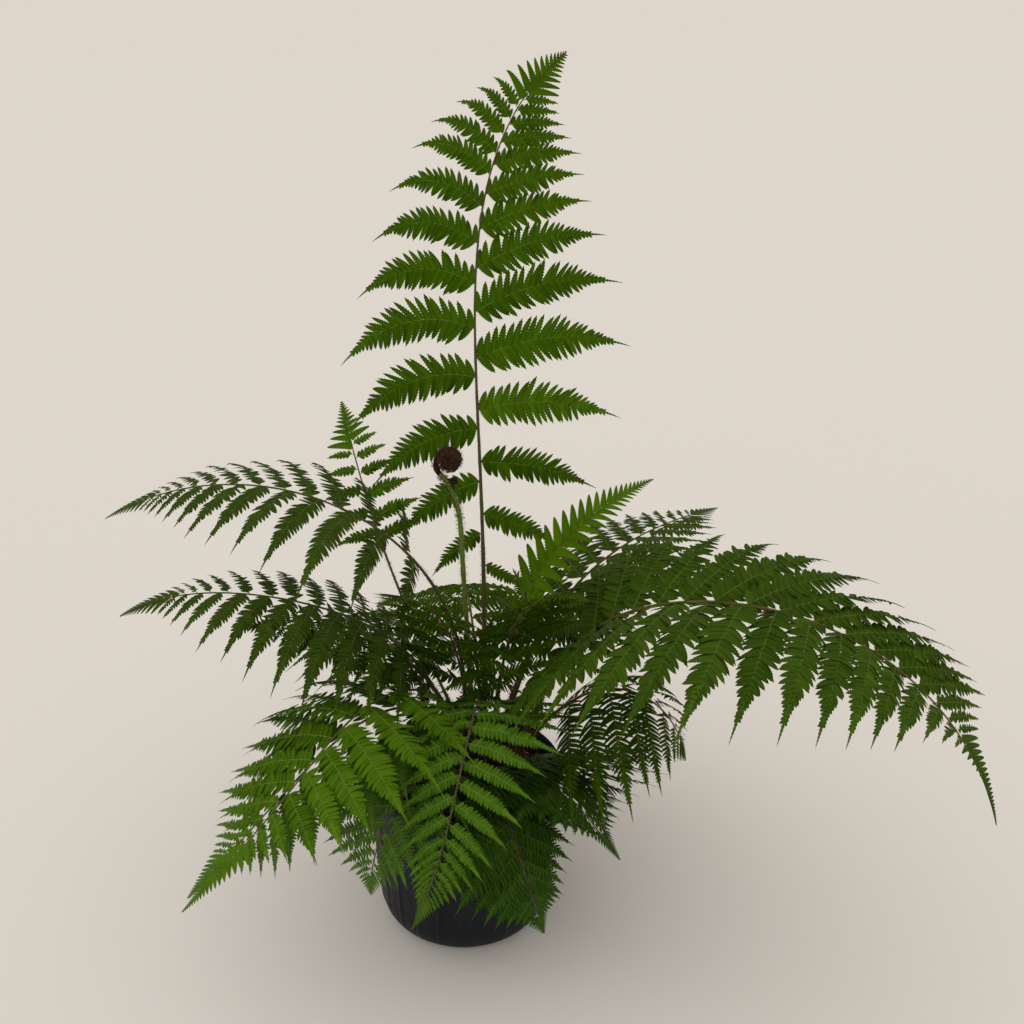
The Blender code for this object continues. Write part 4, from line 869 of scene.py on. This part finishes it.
v, fc = tube(spiral, thick[:, None] * lump, 14, u_, outw)
coil.add(v, fc, 0)
# rolled-up leaflets crowd both faces of the coil
for side in (1, -1):
    for j, (rr, m) in enumerate(((0.0125, 15), (0.0082, 10), (0.0040, 5))):
        for k in range(m):
            an = 2 * math.pi * (k + 0.5 * j + 0.25 * side) / m + rng.normal(0, 0.08)
            mid = hub + ex * rr * math.cos(an) + ez * rr * math.sin(an) + Y * side * (0.0076 - 0.0006 * j)
            knot_r = 0.0023 * rng.uniform(0.85, 1.15)
            z = np.linspace(0, 1, 15)
            aa = rng.uniform(0, 6.28) + 2 * math.pi * 1.6 * z
            r_k = knot_r * (1 - 0.72 * z)
            line = mid + r_k[:, None] * (np.cos(aa)[:, None] * ex + np.sin(aa)[:, None] * ez) + Y * side * (0.0010 * z)[:, None]
            tn = unit(np.gradient(line, axis=0))
            uu = np.repeat((Y * side)[None], 15, 0)
            vv, ff = tube(line, 0.0010 * (1 - 0.45 * z), 6, uu, unit(np.cross(uu, tn)))
            coil.add(vv, ff, 1)
v, fc, ix = coil.out()
COIL_BROWN = fibre_material("coil_brown", (0.006, 0.0026, 0.0012), (0.040, 0.017, 0.006), 260)
COIL_KNOT = fibre_material("coil_leaflets", (0.014, 0.006, 0.0025), (0.085, 0.042, 0.016), 420)
make("crozier_coil_core", v, fc, [COIL_BROWN, COIL_KNOT], ix, True, ["crozier_coil"])

fur = Pile()
k = 3400
pick = rng.integers(2, n - 1, k)
aa = rng.uniform(0, 2 * np.pi, k)
keep = rng.random(k) < np.where(q[pick] < 0.5, 1.0, 0.75)
pick, aa = pick[keep], aa[keep]
radial = np.cos(aa)[:, None] * flat[pick] + np.sin(aa)[:, None] * outw[pick]
roots = spiral[pick] + np.cos(aa)[:, None] * flat[pick] * broad[pick][:, None] * 0.95 + np.sin(aa)[:, None] * outw[pick] * thick[pick][:, None] * 0.95
gold = rng.random(len(pick)) < 0.30
for g in (True, False):
    m = gold == g
    if g:
        wisps(fur, roots[m], radial[m] + tan[pick][m] * 0.5, np.full(m.sum(), 0.0046) * rng.uniform(0.6, 1.2, m.sum()),
              np.full(m.sum(), 0.00034), np.full(m.sum(), 0.05), 1, 0.35)
    else:
        wisps(fur, roots[m], radial[m] + tan[pick][m] * 0.6, np.full(m.sum(), 0.0042) * rng.uniform(0.6, 1.25, m.sum()),
              np.full(m.sum(), 0.00048), np.full(m.sum(), 0.05), 0, 0.35)
# the bud: a small coil at the neck
m = 34
z = np.linspace(0, 1, m)
aa = math.radians(150) - 2 * math.pi * 1.5 * z
r_k = (BUD_R - 0.0018) * (1 - 0.80 * z)
line = bud_at + r_k[:, None] * (np.cos(aa)[:, None] * ex + np.sin(aa)[:, None] * ez)
neck = P[-7] * 0.5 + P[-8] * 0.5
line = np.concatenate((np.linspace(neck, line[0], 5)[:-1], line))
tn = unit(np.gradient(line, axis=0))
uu = np.repeat(Y[None], len(line), 0)
th = np.concatenate((np.full(4, 0.0014), 0.0018 * (1 - 0.45 * z)))
vv, ff = tube(line, th[:, None] * (1 + 0.06 * rng.normal(0, 1, (len(line), 8))), 8, uu * 1.5, unit(np.cross(uu, tn)))
make("crozier_bud_coil", vv, ff, [COIL_BROWN], None, True, ["crozier_bud"])
k = 420
pick = rng.integers(2, len(line) - 2, k)
aa = rng.uniform(0, 2 * np.pi, k)
radial = np.cos(aa)[:, None] * uu[pick] + np.sin(aa)[:, None] * unit(np.cross(uu, tn))[pick]
wisps(fur, line[pick] + radial * 0.0016, radial, 0.0022 * rng.uniform(0.6, 1.2, k), np.full(k, 0.0003), np.full(k, 0.05),
      (rng.random(k * 3) < 0.3).astype(int), 0.2)
v, fc, ix = fur.out()
make("crozier_fur", v, fc, [HAIR_DARK, SCALE_GOLD], ix, True)


# ---- crown ----
def lathe(outline, sides, cx=0.0, cy=0.0, shape=None):
    """A turned body from (radius, height) pairs with relief from shape(angle, radius, height, row)."""
    a = 2 * np.pi * np.arange(sides) / sides
    rows = []
    for i, (r, z) in enumerate(outline):
        rr, zz = np.full(sides, float(r)), np.full(sides, float(z))
        if shape is not None:
            rr, zz = shape(a, rr, zz, i)
        rows.append(np.stack((cx + rr * np.cos(a), cy + rr * np.sin(a), zz), -1))
    v = np.concatenate(rows)
    n = len(outline)
    i, k = np.meshgrid(np.arange(n - 1), np.arange(sides), indexing="ij")
    j = (k + 1) % sides
    a0, b0, a1, b1 = i * sides + k, i * sides + j, (i + 1) * sides + k, (i + 1) * sides + j
    f = np.concatenate((np.stack((a0, b0, b1), -1).reshape(-1, 3), np.stack((a0, b1, a1), -1).reshape(-1, 3)))
    f = f[(v[f[:, 0]] != v[f[:, 1]]).any(1) & (v[f[:, 1]] != v[f[:, 2]]).any(1) & (v[f[:, 0]] != v[f[:, 2]]).any(1)]
    return v, f


def waves(a, seed, amount, orders):
    g = np.random.default_rng(seed)
    return sum(amount / math.sqrt(len(orders)) * g.normal() * np.cos(o * a + g.uniform(0, 6.28)) for o in orders)


def crown_shape(a, r, z, i):
    k = 1 + waves(a, 31 + i // 2, 0.05, (2, 3, 5, 7, 11)) + waves(a, 60 + i, 0.02, (13, 17, 23))
    return r * k, z + (r > 0.002) * waves(a, 90 + i, 0.0012, (3, 5, 9, 14))


rr = np.linspace(CROWN_R, 0.0, 12)
dome = [(0.0, SOIL_TOP - 0.004), (CROWN_R * 0.9, SOIL_TOP - 0.004), (CROWN_R * 0.96, SOIL_TOP + 0.004), (CROWN_R * 0.99, SOIL_TOP + 0.012)] + \
       [(float(x), CROWN_TOP - CROWN_FALL * float(x) ** 2 - 0.001) for x in rr]
v, fc = lathe(dome, 96, CROWN_X, CROWN_Y, crown_shape)
crown = Pile()
crown.add(v, fc, 0)
# stubs of old stalks round its side
for k in range(13):
    an = 2 * math.pi * k / 13 + rng.normal(0, 0.12)
    out = np.array((math.cos(an), math.sin(an), 0.0))
    z0 = rng.uniform(SOIL_TOP + 0.006, SOIL_TOP + 0.018)
    root = np.array((CROWN_X, CROWN_Y, z0)) + out * CROWN_R * 0.86
    s_ = np.linspace(0, 1, 7)
    ln = rng.uniform(0.012, 0.022)
    line = root + out * (s_ * ln)[:, None] + np.array((0, 0, 1.0)) * (0.010 * s_ ** 1.5)[:, None]
    tn = unit(np.gradient(line, axis=0))
    sd_ = np.repeat(unit(np.cross(tn[0], (0, 0, 1.0)))[None], 7, 0)
    vv, ff = tube(line, 0.0042 * (1.1 - 0.3 * s_)[:, None] * (1 + 0.06 * rng.normal(0, 1, (7, 9))), 9, sd_, unit(np.cross(tn, sd_)))
    crown.add(vv, ff, 1)
v, fc, ix = crown.out()
CROWN_MAT = fibre_material("crown_fibre", (0.014, 0.007, 0.003), (0.070, 0.036, 0.016), 130)
STUB_MAT = fibre_material("old_stalk", (0.026, 0.013, 0.006), (0.095, 0.055, 0.026), 90)
make("crown_body", v, fc, [CROWN_MAT, STUB_MAT], ix, True, ["crown"])
mat_fur = Pile()
k = 2600
qq = CROWN_R * np.sqrt(rng.random(k)) * 0.98
an = rng.uniform(0, 2 * np.pi, k)
roots = np.stack((CROWN_X + qq * np.cos(an), CROWN_Y + qq * np.sin(an), CROWN_TOP - CROWN_FALL * qq ** 2 - 0.0012), -1)
out = np.stack((np.cos(an) * (0.3 + qq / CROWN_R), np.sin(an) * (0.3 + qq / CROWN_R), np.full(k, 0.7)), -1)
wisps(mat_fur, roots, unit(out), 0.0105 * rng.uniform(0.6, 1.2, k), 0.0010 * rng.uniform(0.6, 1.2, k), np.full(k, 0.25),
      (rng.random(k * 3) < 0.22).astype(int), 0.2)
k = 900
an = rng.uniform(0, 2 * np.pi, k)
zz = rng.uniform(SOIL_TOP + 0.003, CROWN_TOP - CROWN_FALL * CROWN_R ** 2, k)
roots = np.stack((CROWN_X + CROWN_R * 0.97 * np.cos(an), CROWN_Y + CROWN_R * 0.97 * np.sin(an), zz), -1)
out = np.stack((np.cos(an), np.sin(an), np.full(k, 0.25)), -1)
wisps(mat_fur, roots, unit(out), 0.0090 * rng.uniform(0.6, 1.2, k), 0.0010 * rng.uniform(0.6, 1.2, k), np.full(k, 0.3),
      (rng.random(k * 3) < 0.22).astype(int), 0.2)
v, fc, ix = mat_fur.out()
make("crown_scales", v, fc, [SCALE_DARK, SCALE_GOLD], ix, True)

v, fc, ix = hairs.out()
make("stalk_hairs", v, fc, [SCALE_DARK, SCALE_GOLD, HAIR_PALE], ix, True)


# ---- soil ----
inner = float(pot_radius(SOIL_TOP)) - POT_WALL - 0.0004


def soil_shape(a, r, z, i):
    if i < 4:
        return r, z
    lift = waves(a, 200 + i, 0.0011, (2, 3, 5, 8, 13)) + waves(a, 240 + i, 0.0007, (19, 27, 34, 41))
    return r, z + lift


body = [(0.0, 0.0046), (float(pot_radius(0.0046)) - 0.0052, 0.0046), (float(pot_radius(POT_FOOT_ROUND)) - 0.0031, POT_FOOT_ROUND),
        (inner, SOIL_TOP - 0.006)]
body += [(inner * x, SOIL_TOP - 0.0022 - 0.001 * x) for x in np.linspace(1.0, 0.0, 26)]
v, fc = lathe(body, 120, 0, 0, soil_shape)
SOIL_MAT = fibre_material("potting_mix", (0.006, 0.0036, 0.0021), (0.034, 0.020, 0.011), 240, 0.9)
make("soil_body", v, fc, [SOIL_MAT], None, True, ["soil"])


def lumps(pile, count, size, squash, index, rim):
    """Irregular grains and chips lying on the soil."""
    g = (1 + 5 ** 0.5) / 2
    ico = unit(np.array([(-1, g, 0), (1, g, 0), (-1, -g, 0), (1, -g, 0), (0, -1, g), (0, 1, g), (0, -1, -g), (0, 1, -g),
                         (g, 0, -1), (g, 0, 1), (-g, 0, -1), (-g, 0, 1)], float))
    fcs = np.array([(0, 11, 5), (0, 5, 1), (0, 1, 7), (0, 7, 10), (0, 10, 11), (1, 5, 9), (5, 11, 4), (11, 10, 2), (10, 7, 6), (7, 1, 8),
                    (3, 9, 4), (3, 4, 2), (3, 2, 6), (3, 6, 8), (3, 8, 9), (4, 9, 5), (2, 4, 11), (6, 2, 10), (8, 6, 7), (9, 8, 1)])
    r = rim * np.sqrt(rng.random(count))
    an = rng.uniform(0, 2 * np.pi, count)
    sz = size * rng.uniform(0.55, 1.3, count)
    for i in range(count):
        m = ico * (1 + rng.normal(0, 0.13, (12, 1)))
        m = m * np.array((1.0, rng.uniform(0.5, 0.9), squash * rng.uniform(0.7, 1.2))) * sz[i]
        th, ti = rng.uniform(0, 6.28), rng.normal(0, 0.35)
        c_, s_ = math.cos(ti), math.sin(ti)
        m = m @ np.array(((c_, 0, s_), (0, 1, 0), (-s_, 0, c_)))
        c_, s_ = math.cos(th), math.sin(th)
        m = m @ np.array(((c_, s_, 0), (-s_, c_, 0), (0, 0, 1)))
        pile.add(m + np.array((r[i] * math.cos(an[i]), r[i] * math.sin(an[i]), SOIL_TOP - 0.0022 + sz[i] * squash * 0.35)), fcs, index)


top = Pile()
lumps(top, 620, 0.0052, 0.42, 0, inner - 0.006)
lumps(top, 520, 0.0028, 0.7, 1, inner - 0.004)
lumps(top, 130, 0.0021, 0.85, 2, inner - 0.004)
v, fc, ix = top.out()
BARK = fibre_material("bark_chip", (0.008, 0.0042, 0.0022), (0.040, 0.022, 0.011), 190, 0.85, (1, 3, 1))
CRUMB = fibre_material("soil_crumb", (0.010, 0.006, 0.004), (0.045, 0.027, 0.016), 300, 0.92)
GRIT = fibre_material("white_grit", (0.16, 0.15, 0.13), (0.34, 0.33, 0.30), 500, 0.85)
make("soil_chips", v, fc, [BARK, CRUMB, GRIT], ix, False)


# ---- pot ----
RIBS = 24
SIDES = RIBS * 20


def flute(a):
    """0 on a rib, 1 in the flat between, with a crisp shoulder."""
    x = (a * RIBS / (2 * np.pi)) % 1.0
    d = np.abs(x - 0.5) * 2
    return np.clip((0.86 - d) / 0.16, 0, 1) ** 0.8


outline, tag = [], []


def row(r, z, kind):
    outline.append((float(r), float(z)))
    tag.append(kind)


for r, z in ((0.0, 0.0022), (0.030, 0.0022), (0.032, 0.0008), (0.040, 0.0008), (0.042, 0.0022), (0.078, 0.0022), (0.080, 0.0), (0.088, 0.0)):
    row(r, z, "under")
for z in (0.0, 0.0006, 0.0020, 0.0045, 0.0085, 0.0135, 0.0195, 0.0265, 0.034):
    row(pot_radius(z), z, "foot")
for z in np.linspace(POT_FOOT_ROUND, POT_HEIGHT - POT_RIM_DROP - 0.010, 22):
    row(pot_radius(z), z, "body")
rz = POT_HEIGHT - POT_RIM_DROP
row(pot_radius(rz - 0.004), rz - 0.004, "neck")
row(pot_radius(rz) + 0.0001, rz - 0.0012, "neck")
for r, z in ((POT_RIM_R - 0.0016, rz - 0.0006), (POT_RIM_R - 0.0004, rz + 0.0004), (POT_RIM_R, rz + 0.0022), (POT_RIM_R, POT_HEIGHT - 0.0042),
             (POT_RIM_R - 0.0003, POT_HEIGHT - 0.0020), (POT_RIM_R - 0.0011, POT_HEIGHT - 0.0007), (POT_RIM_R - 0.0022, POT_HEIGHT - 0.0001),
             (POT_RIM_R - 0.0034, POT_HEIGHT - 0.0006), (POT_RIM_R - 0.0044, POT_HEIGHT - 0.0024)):
    row(r, z, "rim")
for z in (POT_HEIGHT - 0.010, rz, SOIL_TOP - 0.012, 0.12, POT_FOOT_ROUND, 0.014):
    row(pot_radius(z) - POT_WALL, z, "inside")
row(pot_radius(0.004) - POT_WALL - 0.002, 0.004, "inside")
row(0.0, 0.004, "inside")


def pot_shape(a, r, z, i):
    kind = tag[i]
    z0 = float(z[0])
    if kind == "body" or kind == "foot":
        fade = np.clip((z0 - 0.012) / 0.030, 0, 1) * np.clip((rz - 0.008 - z0) / 0.012, 0, 1)
        r = r - 0.0013 * flute(a) * fade + 0.0004 * fade
        r = r + 0.00035 * np.cos(2 * a + 0.7) + 0.00025 * np.cos(3 * a + 2.1 + z0 * 9)
    return r, z


v, fc = lathe(outline, SIDES, 0, 0, pot_shape)
m, nt, p = nodes_of("pot_plastic")
big = noise(nt, 9, 4, 0.6, stretch=(1, 1, 0.28))
fine = noise(nt, 620, 3, 0.7)
dust = noise(nt, 55, 6, 0.72)
c1 = ramp(nt, ((0.30, (0.0034, 0.0051, 0.0084)), (0.72, (0.0082, 0.0114, 0.0172))))
nt.links.new(big.outputs["Fac"], c1.inputs["Fac"])
c2 = ramp(nt, ((0.56, (0, 0, 0)), (0.80, (0.55, 0.55, 0.55))))
nt.links.new(dust.outputs["Fac"], c2.inputs["Fac"])
mx = nt.nodes.new("ShaderNodeMix")
mx.data_type = "RGBA"
mx.inputs["B"].default_value = (0.026, 0.026, 0.026, 1)
nt.links.new(c2.outputs["Color"], mx.inputs["Factor"])
nt.links.new(c1.outputs["Color"], mx.inputs["A"])
nt.links.new(mx.outputs["Result"], p.inputs["Base Color"])
p.inputs["Specular IOR Level"].default_value = 0.18
rough_between(nt, p, dust.outputs["Fac"], 0.38, 0.60)
bump(nt, p, fine.outputs["Fac"], 0.28, 0.0005)
make("pot_shell", v, fc, [m], None, True, ["pot"])
me = bpy.data.objects["pot_shell"].data
me.set_sharp_from_angle(angle=math.radians(38))

# ---- stage, light, camera ----
me = bpy.data.meshes.new("floor")
me.from_pydata([(-300, -300, 0), (300, -300, 0), (300, 300, 0), (-300, 300, 0)], [], [(0, 1, 2, 3)])
floor = bpy.data.objects.new("floor", me)
bpy.context.scene.collection.objects.link(floor)
m, nt, p = nodes_of("floor_pale")
p.inputs["Base Color"].default_value = (0.7525, 0.7407, 0.7240, 1)
p.inputs["Roughness"].default_value = 1.0
p.inputs["Specular IOR Level"].default_value = 0.0
me.materials.append(m)

world = bpy.data.worlds.new("studio")
bpy.context.scene.world = world
world.use_nodes = True
bg = world.node_tree.nodes["Background"]
bg.inputs["Color"].default_value = (0.730, 0.672, 0.597, 1)
bg.inputs["Strength"].default_value = 1.0


sun = bpy.data.lights.new("sky_soft", "SUN")
sun.energy = 0.90
sun.angle = math.radians(100)
sun.color = (1.0, 0.995, 0.98)
so = bpy.data.objects.new("sky_soft", sun)
so.rotation_euler = Vector((0.42, 0.50, -1.0)).to_track_quat("-Z", "Y").to_euler()
bpy.context.scene.collection.objects.link(so)

bpy.context.scene.view_settings.view_transform = "Standard"
bpy.context.scene.view_settings.look = "None"

cd = bpy.data.cameras.new("photo_view")
cam = bpy.data.objects.new("photo_view", cd)
cam.location = (0.0706, -1.411, 1.1907)
cam.rotation_euler = (math.radians(90 - 21.6), 0, 0)
cd.sensor_width = 36.0
cd.lens = 1150 / 1024 * 36.0
cd.clip_start, cd.clip_end = 0.05, 1500
bpy.context.scene.collection.objects.link(cam)
bpy.context.scene.camera = cam

print("triangles by frond", count, sum(sum(c) for c in count.values()))
